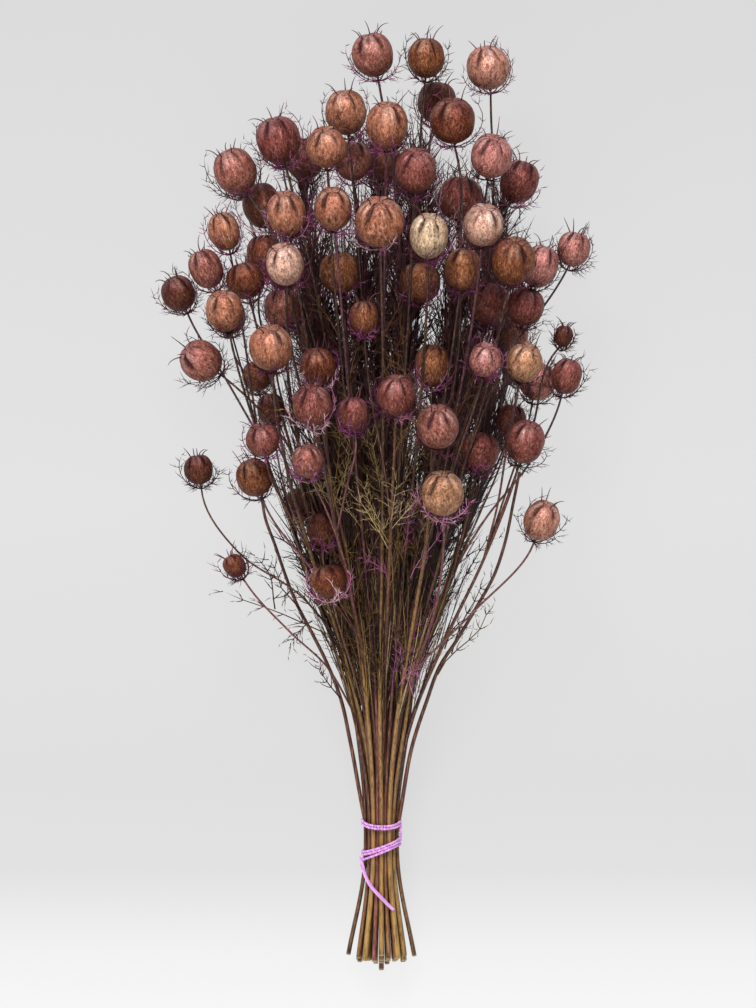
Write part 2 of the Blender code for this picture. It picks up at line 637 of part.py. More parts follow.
def add_wrap(along, half, tilt, sag, group):
    """One band round the bundle, tilted from left to right and sagging on its upper side."""
    _, rim = bundle_at(WAIST_TOP)
    inner = (rim + GAP) / math.cos(math.pi / WRAP_SIDES)
    points, faces = [], []
    for side in range(WRAP_SIDES):
        angle = 2 * math.pi * side / WRAP_SIDES
        middle = along + tilt * math.cos(angle) - sag * max(math.sin(angle), 0)
        lift, _ = bundle_at(middle)
        for radius, aside in ((0, -1), (0, 1), (2, 0.8), (2, -0.8)):
            reach = inner + radius * WRAP_THICK
            across = BUNDLE_ACROSS + reach * math.cos(angle)
            points.append((across, middle + aside * half, lift + reach * math.sin(angle)))
        low, high = 4 * side, 4 * ((side + 1) % WRAP_SIDES)
        for turn in range(4):
            after = (turn + 1) % 4
            faces.append((low + turn, low + after, high + after, high + turn))
    return add_body("wrap", points, faces, group)


def add_tape(points, half, group):
    """A flat strip along a run of points that lies on the bundle."""
    rings, faces = [], [(3, 2, 1, 0)]
    way = unit(np.gradient(points, axis=0))
    for point, forward in zip(points, way):
        aside = unit(np.cross(forward, (0, 0, 1)))
        lift = np.cross(aside, forward)
        for turn, rise in ((-1, -1), (1, -1), (1, 1), (-1, 1)):
            rings.append(point + turn * half * aside + rise * 0.35 * MM * lift)
    for ring in range(len(points) - 1):
        low = 4 * ring
        for turn in range(4):
            after = (turn + 1) % 4
            faces.append((low + turn, low + after, low + 4 + after, low + 4 + turn))
    faces.append(tuple(len(rings) - 4 + turn for turn in range(4)))
    return add_body("tape", rings, faces, group)


def build_tie():
    """The tie: two wraps, the run between them on the right, and the loose tail across the stems."""
    group = bpy.data.collections.new("tie")
    bpy.context.scene.collection.children.link(group)
    add_wrap(LOW_WRAP, LOW_HALF, LOW_TILT, 0, group)
    add_wrap(HIGH_WRAP, HIGH_HALF, 0, HIGH_SAG, group)
    lift, rim = bundle_at(WAIST_TOP)
    side = BUNDLE_ACROSS + rim + GAP + 1.2 * WRAP_THICK
    ends = np.array([(side, LOW_WRAP + LOW_TILT, lift), (side, HIGH_WRAP, lift + 0.4 * MM)])
    add_thread(ends, (0.8 * MM, 0.8 * MM), group)
    lift, rim = bundle_at(LOW_WRAP)
    held = math.radians(155)
    reach = rim + GAP + WRAP_THICK
    start = (BUNDLE_ACROSS + reach * math.cos(held), LOW_WRAP - LOW_TILT, lift + reach * math.sin(held))
    tail = [start]
    for across, along in np.array(TAIL) * MM:
        lift, rim = bundle_at(along)
        top = math.sqrt(max(rim**2 - (across - BUNDLE_ACROSS) ** 2, 0.16 * rim**2))
        tail.append((across, along, lift + top + TAIL_LIFT))
    add_tape(np.array(tail), TAIL_HALF, group)
    return fuse("tie", group, LILAC)


def main():
    for leftover in list(bpy.data.objects):
        bpy.data.objects.remove(leftover)
    skeleton = Skeleton()
    skeleton.part_stems()
    room, draw = Room(skeleton), np.random.default_rng(SEED + 1)
    pods = range(len(skeleton.middle))
    dressing = {"tips": [horn_tips(skeleton, room, pod, draw) for pod in pods]}
    dressing["bracts"] = [bract_runs(skeleton, room, pod, draw) for pod in pods]
    dressing["leaves"] = [leaf_runs(skeleton, room, stem, draw) for stem in range(STEM_COUNT)]
    for stem in range(STEM_COUNT):
        build_stem(skeleton, room, stem, dressing)
    build_tie()


if __name__ == "__main__":
    main()
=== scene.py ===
"""A tied bunch of dried nigella pods, dressed for looking at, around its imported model.

The bunch lies along Y with its heads towards +Y, and the camera looks straight down on it. The file
follows the bunch as it grew and was put together: where the pods sit, the stems that carry them,
the pods, their styles, their ruffs of thread-like bracts, the thread-like leaves, and the tie.
"""

import math

import bpy
import numpy as np
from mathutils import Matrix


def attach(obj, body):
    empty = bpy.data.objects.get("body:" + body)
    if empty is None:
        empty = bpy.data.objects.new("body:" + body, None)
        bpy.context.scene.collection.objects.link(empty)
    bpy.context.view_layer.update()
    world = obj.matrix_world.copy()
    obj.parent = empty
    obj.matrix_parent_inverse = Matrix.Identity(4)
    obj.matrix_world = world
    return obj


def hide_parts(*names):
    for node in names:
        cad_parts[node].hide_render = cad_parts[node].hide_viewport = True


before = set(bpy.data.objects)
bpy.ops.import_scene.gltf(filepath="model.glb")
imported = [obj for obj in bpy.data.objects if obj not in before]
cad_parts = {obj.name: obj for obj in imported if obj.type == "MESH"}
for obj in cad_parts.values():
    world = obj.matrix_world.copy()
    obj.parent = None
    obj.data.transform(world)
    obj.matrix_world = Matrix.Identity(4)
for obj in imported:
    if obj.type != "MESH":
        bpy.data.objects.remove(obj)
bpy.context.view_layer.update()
MM = 0.001

# The camera: a long lens that looks straight down, with the heads at the top of the picture.
STEP = 0.637 * MM  # one step of the picture, in the bunch's middle plane
CENTRE_ACROSS, CENTRE_ALONG = 375, 497  # the middle of the bunch in the picture
PICTURE_WIDE, PICTURE_HIGH = 756, 1008
LENS, SENSOR = 300, 36  # the lens, and the height of its sensor, in mm
MIDDLE_PLANE = 90 * MM
FARTHEST = 30  # metres that the camera sees


def from_picture(across, along):
    """Where a place in the picture lies, across and along the bunch: its distance from the middle
    of the bunch in the picture, times the step."""
    return (across - CENTRE_ACROSS) * STEP, (CENTRE_ALONG - along) * STEP


distance = LENS / SENSOR * PICTURE_HIGH * STEP
lens = bpy.data.cameras.new("camera")
lens.sensor_fit = "VERTICAL"
lens.sensor_height = SENSOR
lens.lens = LENS
lens.clip_end = FARTHEST
camera = bpy.data.objects.new("camera", lens)
camera.location = (*from_picture(PICTURE_WIDE / 2, PICTURE_HIGH / 2), MIDDLE_PLANE + distance)
bpy.context.scene.collection.objects.link(camera)
bpy.context.scene.camera = camera

# Where the pods sit. Each is read from the picture: across, along, width, length, layer in depth,
# lean in degrees, and the letter of its dye, which on some pods carries painted shade and on
# others painted light. The far ones lie under near ones, on the surface.
NEAR_PODS = (
    (373, 57, 41, 44, 2, -10, "R"), (426, 60, 37, 40, 2, 0, "B"), (488, 69, 43, 44, 2, -15, "L"),
    (437, 101, 39, 42, 0, 5, "D"), (452, 125, 45, 45, 3, -8, "K"), (346, 115, 41, 45, 2, -5, "C"),
    (387, 130, 42, 47, 3, 0, "C"), (279, 142, 44, 47, 2, -10, "U"), (327, 152, 40, 41, 3, 0, "C"),
    (304, 158, 38, 42, 0, 0, "D"), (353, 161, 36, 40, 1, 0, "R"), (236, 173, 42, 46, 2, -15, "R"),
    (490, 160, 41, 44, 3, 0, "P"), (519, 182, 38, 44, 1, 10, "U"), (415, 175, 41, 45, 3, 0, "V"),
    (384, 164, 38, 40, 0, 0, "D"), (460, 199, 44, 45, 1, 0, "U"), (262, 206, 38, 46, 1, -8, "D"),
    (296, 217, 38, 46, 3, 0, "C"), (331, 215, 37, 44, 3, 0, "C"), (374, 225, 48, 50, 3, 0, "C"),
    (225, 233, 31, 39, 2, -10, "C"), (428, 240, 38, 46, 3, 0, "G"), (483, 230, 40, 42, 3, 0, "S"),
    (573, 250, 33, 35, 2, 0, "P"), (511, 263, 43, 48, 3, 0, "B"), (539, 268, 36, 43, 2, 8, "P"),
    (462, 271, 36, 42, 2, 0, "O"), (286, 268, 37, 43, 3, -4, "S"), (264, 257, 35, 45, 1, 0, "K"),
    (206, 272, 33, 40, 2, -10, "R"), (181, 293, 34, 36, 2, -12, "D"), (245, 282, 38, 37, 2, -5, "K"),
    (340, 273, 41, 42, 1, 0, "O"), (420, 283, 41, 41, 1, 0, "O"), (226, 313, 37, 41, 3, -3, "C"),
    (283, 309, 38, 40, 1, 0, "R"), (364, 319, 28, 33, 2, 0, "B"), (489, 304, 42, 43, 1, 0, "U"),
    (525, 308, 36, 38, 2, 5, "U"), (511, 334, 37, 38, 0, 0, "R"), (563, 337, 18, 22, 2, 0, "D"),
    (203, 362, 40, 42, 3, -42, "R"), (272, 350, 43, 45, 3, 0, "C"), (318, 368, 36, 37, 2, 0, "K"),
    (432, 366, 35, 43, 1, 0, "O"), (484, 362, 32, 34, 3, 0, "P"), (523, 364, 36, 39, 3, 0, "T"),
    (538, 382, 36, 38, 1, 5, "P"), (566, 377, 30, 36, 2, 0, "V"), (256, 376, 29, 31, 0, 0, "B"),
    (271, 410, 28, 33, 1, -5, "D"), (396, 397, 38, 40, 3, 0, "V"), (313, 407, 39, 41, 3, 0, "V"),
    (354, 415, 30, 34, 2, 0, "V"), (437, 428, 42, 44, 3, 0, "R"), (511, 421, 30, 33, 1, 0, "D"),
    (524, 443, 38, 44, 3, 4, "V"), (480, 452, 38, 40, 1, 0, "U"), (264, 441, 33, 33, 3, -4, "V"),
    (255, 478, 36, 38, 2, -10, "B"), (308, 462, 31, 33, 3, 0, "R"), (199, 470, 29, 30, 2, 5, "D"),
    (442, 494, 42, 45, 3, -5, "T"), (541, 521, 36, 41, 3, 8, "L"), (235, 566, 22, 24, 2, -25, "K"),
    (328, 582, 36, 33, 2, -10, "K"), (321, 530, 29, 34, 1, 0, "D"), (317, 335, 38, 40, 0, 0, "D"),
    (300, 505, 30, 34, 0, 0, "D"), (480, 396, 35, 38, 0, 0, "R"),
)
FAR_UNDER = (7, 14, 11, 6, 23, 18, 22, 25, 28, 35, 20, 43, 53, 52, 47, 55)
FAR_WIDTH, FAR_LENGTH = 35, 38
FAR_DYE = "K"
NEAR_LAYERS = (-0.55, -0.12, 0.42, 0.95)  # each layer's height, as a share of the head's rise
LEAST_SWELL = 0.04
HEAD_MIDDLE = 119 * MM
HEAD_HALF_LENGTH = 190 * MM
HEAD_HALF_WIDTH = 134 * MM
HEAD_LIFT = 92 * MM
HEAD_RISE = 78 * MM
WAIST_TOP, WAIST_LOW, FOOT = -202 * MM, -234 * MM, -305.3 * MM
WAIST_LIFT, WAIST_RISE, FOOT_LIFT = 27 * MM, 2 * MM, 16 * MM
BUNDLE_ACROSS = 4 * MM
STEM_COUNT = 43
STEM_PITCH = 3.02 * MM
CUT_RADIUS, STEM_RADIUS, TWIG_RADIUS, NECK_RADIUS = 1.65 * MM, 1.4 * MM, 0.8 * MM, 0.62 * MM
FOOT_SPREAD, FOOT_SPLAY, FOOT_WIDER = 1.25, 0.32, 0.47
SIDE_POD_WIDTH = 23.5 * MM
GAP, POD_GAP, FLOOR_GAP = 0.45 * MM, 1.2 * MM, 0.3 * MM  # least gaps of stems and pods
FLAT_SPOT = 0.9 * MM  # how much of a pod is flattened where it rests
KNOT_STEP = 60 * MM
SINK = 2.5 * MM  # how far a stem runs into its pod
NECK, SIDE_NECK = 12 * MM, 8 * MM  # a stem's last stretch, and a side stem's, below the pod
SHORT_SIDE, USUAL_SIDE = 38 * MM, 80 * MM  # lengths of side stems
MOST_SLANT = 1.15  # how far aside a side stem may reach, as a share of its length
CROWDING = 9 * MM  # what each side stem that a stem already carries counts for
PAIR_REACH = 12 * MM  # how near stems are watched, every few rounds, while they are parted
SETTLE_ROUNDS, PART_ROUNDS, SMOOTH_ROUNDS, PAIR_ROUNDS = 400, 260, 200, 20
SEED = 11


def unit(vectors):
    """Vectors scaled to length 1."""
    return vectors / np.linalg.norm(vectors, axis=-1, keepdims=True)


def place_pods(draw):
    """The pods' middles, half widths, half lengths and directions, before they settle."""
    near = np.array([row[:6] for row in NEAR_PODS], float)
    far = near[list(FAR_UNDER)].copy()
    far[:, 2:6] = (FAR_WIDTH, FAR_LENGTH, -1, 0)
    read = np.concatenate([near, far])
    across, along = from_picture(read[:, 0], read[:, 1])
    half_width, half_length = read[:, 2] * STEP / 2, read[:, 3] * STEP / 2
    inside = 1 - (across / HEAD_HALF_WIDTH) ** 2 - ((along - HEAD_MIDDLE) / HEAD_HALF_LENGTH) ** 2
    swell = np.sqrt(np.maximum(inside, LEAST_SWELL))
    level = np.where(read[:, 4] < 0, -1.0, np.array(NEAR_LAYERS)[read[:, 4].astype(int)])
    level += draw.uniform(-0.04, 0.04, len(read))
    height = HEAD_LIFT + level * swell * HEAD_RISE
    middle = np.stack([across, along, height], 1)
    lean = np.radians(read[:, 5]) + draw.uniform(-0.06, 0.06, len(read))
    nod = 0.5 * np.clip(level, -0.3, 1) + draw.uniform(-0.1, 0.1, len(read))
    lean += 0.25 * across / HEAD_HALF_WIDTH
    direction = unit(np.stack([np.sin(lean), np.cos(lean), np.tan(nod)], 1))
    rests = read[:, 4] < 0
    return middle, half_width, half_length, direction, rests


def settle_pods(middle, half_width, half_length, direction, rests):
    """Moves the pods apart, mostly up and down, until none touch, and sets the far ones down."""
    reach = np.maximum(half_width, half_length)
    upright = direction[:, 2]
    flat = np.sqrt(half_width**2 * (1 - upright**2) + (half_length * upright) ** 2)
    resting_height = flat - FLAT_SPOT
    need = reach[:, None] + reach[None] + POD_GAP
    np.fill_diagonal(need, 0)
    give = np.array([0.35, 0.35, 1.0])
    for _ in range(SETTLE_ROUNDS):
        middle[rests, 2] = resting_height[rests]
        middle[:, 2] = np.maximum(middle[:, 2], resting_height + FLAT_SPOT * ~rests)
        apart = middle[:, None] - middle[None]
        distance = np.linalg.norm(apart, axis=2)
        short = np.maximum(need - distance, 0)
        away = apart * give
        away /= np.maximum(np.linalg.norm(away, axis=2, keepdims=True), 1e-9)
        middle = middle + 0.4 * (away * short[..., None]).sum(1)
    middle[rests, 2] = resting_height[rests]
    return middle


def stem_slots():
    """The places of the stems in the tie: the points of a triangular grid nearest the middle."""
    steps = np.arange(-5, 6)
    i, j = (grid.ravel() for grid in np.meshgrid(steps, steps))
    grid = np.stack([math.sqrt(0.75) * j, i + 0.5 * j], 1) * STEM_PITCH
    order = np.lexsort((grid[:, 0], grid[:, 1], np.round(np.hypot(*grid.T), 6)))
    return grid[order[:STEM_COUNT]]


def match_slots(slots, targets):
    """Which slot feeds which pod: slots change places while that shortens the stems."""
    scale = np.abs(slots).mean() / np.abs(targets).mean()
    cost = ((slots[:, None] - targets[None] * scale) ** 2).sum(2)
    chosen = np.arange(len(targets))
    changed = True
    while changed:
        changed = False
        for a in range(len(chosen)):
            for b in range(a + 1, len(chosen)):
                now = cost[chosen[a], a] + cost[chosen[b], b]
                if cost[chosen[b], a] + cost[chosen[a], b] < now - 1e-12:
                    chosen[a], chosen[b] = chosen[b], chosen[a]
                    changed = True
    return chosen


def cubic(t, start, out, end, into, pull=1.0):
    """The cubic curve at shares t of its way from start to end, which leaves along out and arrives
    along into, each the stronger the greater the pull."""
    return (
        (2 * t**3 - 3 * t**2 + 1) * start
        + (t**3 - 2 * t**2 + t) * pull * out
        + (3 * t**2 - 2 * t**3) * end
        + (t**3 - t**2) * pull * into
    )


def smooth_run(start, start_way, end, end_way, count):
    """Points on a cubic curve from start to end, leaving and arriving in the given directions."""
    t = np.linspace(0, 1, count)[:, None]
    return cubic(t, start, start_way, end, end_way, np.linalg.norm(end - start))


def main_stems(middle, half_length, direction, carriers, draw):
    """The stems through the tie, as lists of points from the cut end to inside the pod."""
    slots = stem_slots()
    lift = middle[carriers, 2].mean()
    targets = np.stack([middle[carriers, 0] - BUNDLE_ACROSS, middle[carriers, 2] - lift], 1)
    chosen = match_slots(slots, targets)
    outline = np.hypot(*slots.T).max()
    runs = []
    for pod, slot in zip(carriers, slots[chosen]):
        share = np.hypot(*slot) / outline
        spread = FOOT_SPREAD + FOOT_SPLAY * share**2
        end = FOOT + (draw.uniform(0, 5) + 6) * MM * math.sqrt(share)
        aside = BUNDLE_ACROSS + slot[0] * (spread + FOOT_WIDER * share)
        foot = np.array([aside, end, FOOT_LIFT + slot[1] * spread])
        low = np.array([BUNDLE_ACROSS + slot[0], WAIST_LOW, WAIST_LIFT + slot[1]])
        top = low + np.array([0, WAIST_TOP - WAIST_LOW, WAIST_RISE])
        way = unit(np.array([slot[0] * 9, 1, 0.13 + slot[1] * 9]))
        neck = middle[pod] - direction[pod] * (half_length[pod] + NECK)
        root = middle[pod] - direction[pod] * (half_length[pod] - SINK)
        count = max(4, round(np.linalg.norm(neck - top) / KNOT_STEP) + 1)
        run = smooth_run(top, way, neck, direction[pod], count)
        runs.append(np.concatenate([[foot, low], run, [root]]))
    return runs


def side_stems(middle, half_length, direction, twigs, runs):
    """The side stems: each leaves the nearest stem well below its pod. Gives runs and forks."""
    side, forks = [], []
    load = np.zeros(len(runs), int)
    for pod in twigs:
        neck = middle[pod] - direction[pod] * (half_length[pod] + SIDE_NECK)
        root = middle[pod] - direction[pod] * (half_length[pod] - SINK)
        best = None
        for parent, run in enumerate(runs):
            for knot in range(3, len(run) - 2):
                drop = neck[1] - run[knot, 1]
                aside = np.hypot(neck[0] - run[knot, 0], neck[2] - run[knot, 2])
                if drop < SHORT_SIDE or aside > MOST_SLANT * drop:
                    continue
                cost = aside + 0.25 * abs(drop - USUAL_SIDE) + load[parent] * CROWDING
                if best is None or cost < best[0]:
                    best = (cost, parent, knot)
        _, parent, knot = best
        load[parent] += 1
        start, run = runs[parent][knot], runs[parent]
        way = unit(unit(run[knot + 1] - run[knot - 1]) + 0.5 * unit(neck - start))
        count = max(3, round(np.linalg.norm(neck - start) / (0.75 * KNOT_STEP)) + 1)
        side.append(np.concatenate([smooth_run(start, way, neck, direction[pod], count), [root]]))
        forks.append((parent, knot))
    return side, forks


def nearest(p, q, u, v):
    """Shares along segments p-q and u-v at which they come closest, for arrays of segments."""
    first, second, between = q - p, v - u, p - u
    a, e = (first * first).sum(-1), (second * second).sum(-1)
    b, c, f = (first * second).sum(-1), (first * between).sum(-1), (second * between).sum(-1)
    det = a * e - b * b
    s = np.clip(np.where(det > 1e-9 * a * e, (b * f - c * e) / np.maximum(det, 1e-18), 0.5), 0, 1)
    t = np.clip((b * s + f) / e, 0, 1)
    s = np.clip((b * t - c) / a, 0, 1)
    return s, t


class Skeleton:
    """Every stem as one array of knots, with what each segment and pod belongs to."""

    def __init__(self):
        draw = np.random.default_rng(SEED)
        pods = place_pods(draw)
        self.middle = settle_pods(*pods)
        _, self.half_width, self.half_length, self.direction, rests = pods
        narrow = (2 * self.half_width < SIDE_POD_WIDTH) | rests
        large = np.argsort(-self.half_width + 1.0 * narrow, kind="stable")
        carriers, twigs = np.sort(large[:STEM_COUNT]), np.sort(large[STEM_COUNT:])
        runs = main_stems(self.middle, self.half_length, self.direction, carriers, draw)
        side, forks = side_stems(self.middle, self.half_length, self.direction, twigs, runs)
        self.pod_of = np.concatenate([carriers, twigs])
        stem_of = np.array([*range(STEM_COUNT), *(parent for parent, _ in forks)])
        self.runs = runs + side
        self.starts = np.cumsum([0] + [len(run) for run in self.runs])
        self.knots = np.concatenate(self.runs)
        self.fork_child = self.starts[STEM_COUNT:-1]
        self.fork_parent = np.array([self.starts[parent] + knot for parent, knot in forks])
        self.radius = np.concatenate([self.run_radius(i) for i in range(len(self.runs))])
        strand = np.repeat(np.arange(len(self.runs)), [len(run) for run in self.runs])
        first = np.arange(len(self.knots) - 1)
        self.first = first[strand[first] == strand[first + 1]]
        self.strand = strand[self.first]
        self.node = stem_of[self.strand]
        self.place = self.first - self.starts[self.strand]

    def run_radius(self, index):
        """A stem's radius at each knot: it thins from the cut end, or the fork, to the pod."""
        count = len(self.runs[index])
        if index < STEM_COUNT:
            thick = np.linspace(STEM_RADIUS, TWIG_RADIUS, count - 3)
            return np.concatenate([[CUT_RADIUS, STEM_RADIUS], thick, [NECK_RADIUS]])
        return np.linspace(0.85 * TWIG_RADIUS, NECK_RADIUS, count)

    def part_stems(self):
        """Pushes the stems clear of each other and of the pods, and keeps each curve smooth."""
        knots, first = self.knots, self.first
        held = np.zeros(len(knots), bool)
        for index, start in enumerate(self.starts[:-1]):
            held[start : start + (3 if index < STEM_COUNT else 1)] = True
            held[self.starts[index + 1] - 1] = True
        home = knots.copy()
        inner = np.zeros(len(knots), bool)
        inner[1:-1] = ~held[1:-1]
        reach = np.maximum(self.half_width, self.half_length)
        own_pod = self.pod_of[self.strand][:, None] == np.arange(len(self.middle))[None]
        crown = self.middle + self.direction * (1.3 * self.half_length)[:, None]
        spheres = np.concatenate([self.middle, crown])
        sphere_radius = np.concatenate([reach, 0.45 * reach])
        own = np.concatenate([own_pod, own_pod], 1)
        for step in range(PART_ROUNDS):
            if step % PAIR_ROUNDS == 0:
                pairs = self.near_pairs(knots)
            shift = np.zeros_like(knots)
            self.push_segments(knots, pairs, shift)
            a, b = knots[first], knots[first + 1]
            way = b - a
            t = ((spheres[None] - a[:, None]) * way[:, None]).sum(2) / (way**2).sum(1)[:, None]
            t = np.clip(t, 0, 1)
            gap = a[:, None] + t[..., None] * way[:, None] - spheres[None]
            distance = np.linalg.norm(gap, axis=2)
            thick = self.radius[first][:, None]
            short = np.maximum(sphere_radius[None] + thick + GAP - distance, 0) * ~own
            push = gap / np.maximum(distance, 1e-6)[..., None] * short[..., None]
            np.add.at(shift, first, (push * (1 - t)[..., None]).sum(1))
            np.add.at(shift, first + 1, (push * t[..., None]).sum(1))
            shift[held] = 0
            knots = knots + 0.6 * shift
            moved = knots - home
            middle_of = np.zeros_like(moved)
            middle_of[1:-1] = (moved[2:] + moved[:-2]) / 2 - moved[1:-1]
            if step < SMOOTH_ROUNDS:
                knots[inner] += 0.12 * middle_of[inner]
            knots[:, 2] = np.maximum(knots[:, 2], self.radius + FLOOR_GAP)
            knots[self.fork_child] = knots[self.fork_parent]
        self.knots = knots

    def near_pairs(self, knots):
        """Pairs of segments of different stems that could meet in the next few steps."""
        a, b = knots[self.first], knots[self.first + 1]
        half = np.linalg.norm(b - a, axis=1) / 2
        centre = (a + b) / 2
        distance = np.linalg.norm(centre[:, None] - centre[None], axis=2)
        i, j = np.nonzero(np.triu(distance < half[:, None] + half[None] + PAIR_REACH, 1))
        other = self.strand[i] != self.strand[j]
        same = self.node[i] == self.node[j]
        young = (self.place < 2) & (self.strand >= STEM_COUNT)
        keep = other & ~(same & (young[i] | young[j]))
        return i[keep], j[keep]

    def push_segments(self, knots, pairs, shift):
        """Adds to shift what parts each pair of segments that is too close."""
        i, j = self.first[pairs[0]], self.first[pairs[1]]
        s, t = nearest(knots[i], knots[i + 1], knots[j], knots[j + 1])
        s, t = s[:, None], t[:, None]
        gap = knots[i] * (1 - s) + knots[i + 1] * s - knots[j] * (1 - t) - knots[j + 1] * t
        distance = np.linalg.norm(gap, axis=1, keepdims=True)
        need = self.radius[i] + self.radius[j] + GAP
        short = np.maximum(need[:, None] - distance, 0)
        gap = np.where(distance > 1e-6, gap, (0, 0, 1e-6))
        push = 0.5 * short * gap / np.maximum(distance, 1e-6)
        for knot, share in ((i, 1 - s), (i + 1, s), (j, t - 1), (j + 1, -t)):
            np.add.at(shift, knot, push * share)


bones = Skeleton()
bones.part_stems()
pod_count = len(bones.middle)
dye_and_shading_letters = [row[6] for row in NEAR_PODS] + [FAR_DYE] * len(FAR_UNDER)
draw = np.random.default_rng(SEED + 5)

# The stems: dried round stalks about 3 mm thick at the cut ends and 1.4 mm at the pods. Each is
# a skin drawn round a smooth curve through its knots, ribbed along its length, with flat cut ends.
STEM_STEPS, SIDE_STEM_STEPS, STEM_SIDES = 72, 30, 6
STEM_RIBS, RIB_COUNT = 0.05, 5  # the ribs' height, as a share of the radius, and how many go round
KHAKI, RED, PLUM = 0, 0.7, 0.9  # tones that stand for the stems' colours
SIDE_STEM_TONE = 0.6  # the least: side stems are red-brown or plum
# An outer stem is this far from the bundle's middle halfway along, or at its pod.
OUTER_HALFWAY, OUTER_AT_POD = 30 * MM, 85 * MM
ABOVE_TIE = 18  # the step of a stem's path that lies just above the tie
# Bare stalks along the bunch's two edges, above the tie: the heights of both ends in mm, and
# places in the picture from the tie up. Their radius goes from the first to the second, in mm.
EDGE_STALKS = (
    (27, 50, (
        (367, 834), (362, 810), (350, 745), (340, 700), (326, 664), (309, 630), (295, 603),
        (286, 580), (274, 545), (264, 517), (261, 499),
    )),
    (29, 70, (
        (397, 836), (402, 806), (412, 750), (427, 703), (440, 668), (458, 640), (477, 608),
        (495, 575), (505, 545), (514, 502), (520, 472),
    )),
)
EDGE_STALK_RADII = (1.35, 0.95)
# The height of the bunch's upper side, in mm, at places along it.
CREST = ((-305, 30), (-202, 42), (-100, 72), (0, 120), (80, 165), (200, 180), (300, 140))


def run_length(points):
    """How far along a run of points each one lies: the running sum of the steps between them."""
    return np.concatenate([[0], np.cumsum(np.linalg.norm(np.diff(points, axis=0), axis=1))])


def smooth_path(knots, count, radii=None):
    """A run of knots resampled to count points by a Catmull-Rom curve, with its radii if given."""
    length = run_length(knots)
    at = np.linspace(0, length[-1], count)
    piece = np.clip(np.searchsorted(length, at, side="right") - 1, 0, len(knots) - 2)
    t = ((at - length[piece]) / (length[piece + 1] - length[piece]))[:, None]
    slope = np.gradient(knots, length, axis=0)
    step = (length[piece + 1] - length[piece])[:, None]
    out, into = slope[piece] * step, slope[piece + 1] * step
    points = cubic(t, knots[piece], out, knots[piece + 1], into)
    return points if radii is None else (points, np.interp(at, length, radii))


def drawn_path(low, high, places, steps):
    """A smooth curve through places in the picture that rises evenly from one height to another."""
    across, along = from_picture(*np.array(places, float).T)
    height = np.linspace(low, high, len(places)) * MM
    return smooth_path(np.stack([across, along, height], -1), steps)


def read_off(table, at):
    """A table's second column at places along its first, straight between rows, both in mm."""
    place, value = (np.array(column) * MM for column in zip(*table))
    return np.interp(at, place, value)


def painted_shade_depth(points):
    """How deep points lie under the bunch's upper side, for the stems' painted shade: 0 there, and 1
    from halfway down.
    """
    crest = read_off(CREST, points[..., 1])
    return np.clip((crest - points[..., 2]) / (0.5 * crest), 0, 1)


def ring_frames(paths):
    """Forward, and two directions across it, at each point of each path (path, point, xyz)."""
    forward = unit(np.gradient(paths, axis=1))
    chord = unit(paths[:, -1] - paths[:, 0] + 1e-9)
    helper = np.where(np.abs(chord[:, 2:]) < 0.8, (0.0, 0.0, 1.0), (1.0, 0.0, 0.0))
    side = np.cross(chord, helper)[:, None] * np.ones_like(forward)
    side = unit(side - forward * (side * forward).sum(2, keepdims=True))
    return forward, side, np.cross(forward, side)


def around(first, second, turn):
    """The direction at a turn from the first towards the second: their cosine and sine shares."""
    return first * np.cos(turn)[..., None] + second * np.sin(turn)[..., None]


def round_skin(paths, radii, sides, ribs=0.0):
    """Rings round each path: point plus radius times cos and sin of the turn along the two
    directions across it. Ribs vary the radius by the cosine of some turns."""
    _, side, up = ring_frames(paths)
    turn = np.arange(sides) * 2 * math.pi / sides
    radius = radii[..., None] * (1 + ribs * np.cos(RIB_COUNT * turn))
    return (
        paths[:, :, None]
        + radius[..., None] * np.cos(turn)[:, None] * side[:, :, None]
        + radius[..., None] * np.sin(turn)[:, None] * up[:, :, None]
    )


def thread_skin(paths, ends, tone, sides=3):
    """Threads that taper evenly from the first end's radius to the second's and end in a point,
    each with its own tone."""
    radii = np.linspace(*ends, paths.shape[1])[None] * np.ones((len(paths), 1))
    rings = round_skin(paths, radii, sides)[:, :-1]
    return rings, paths[:, 0], paths[:, -1], {"tone": tone[:, None, None]}


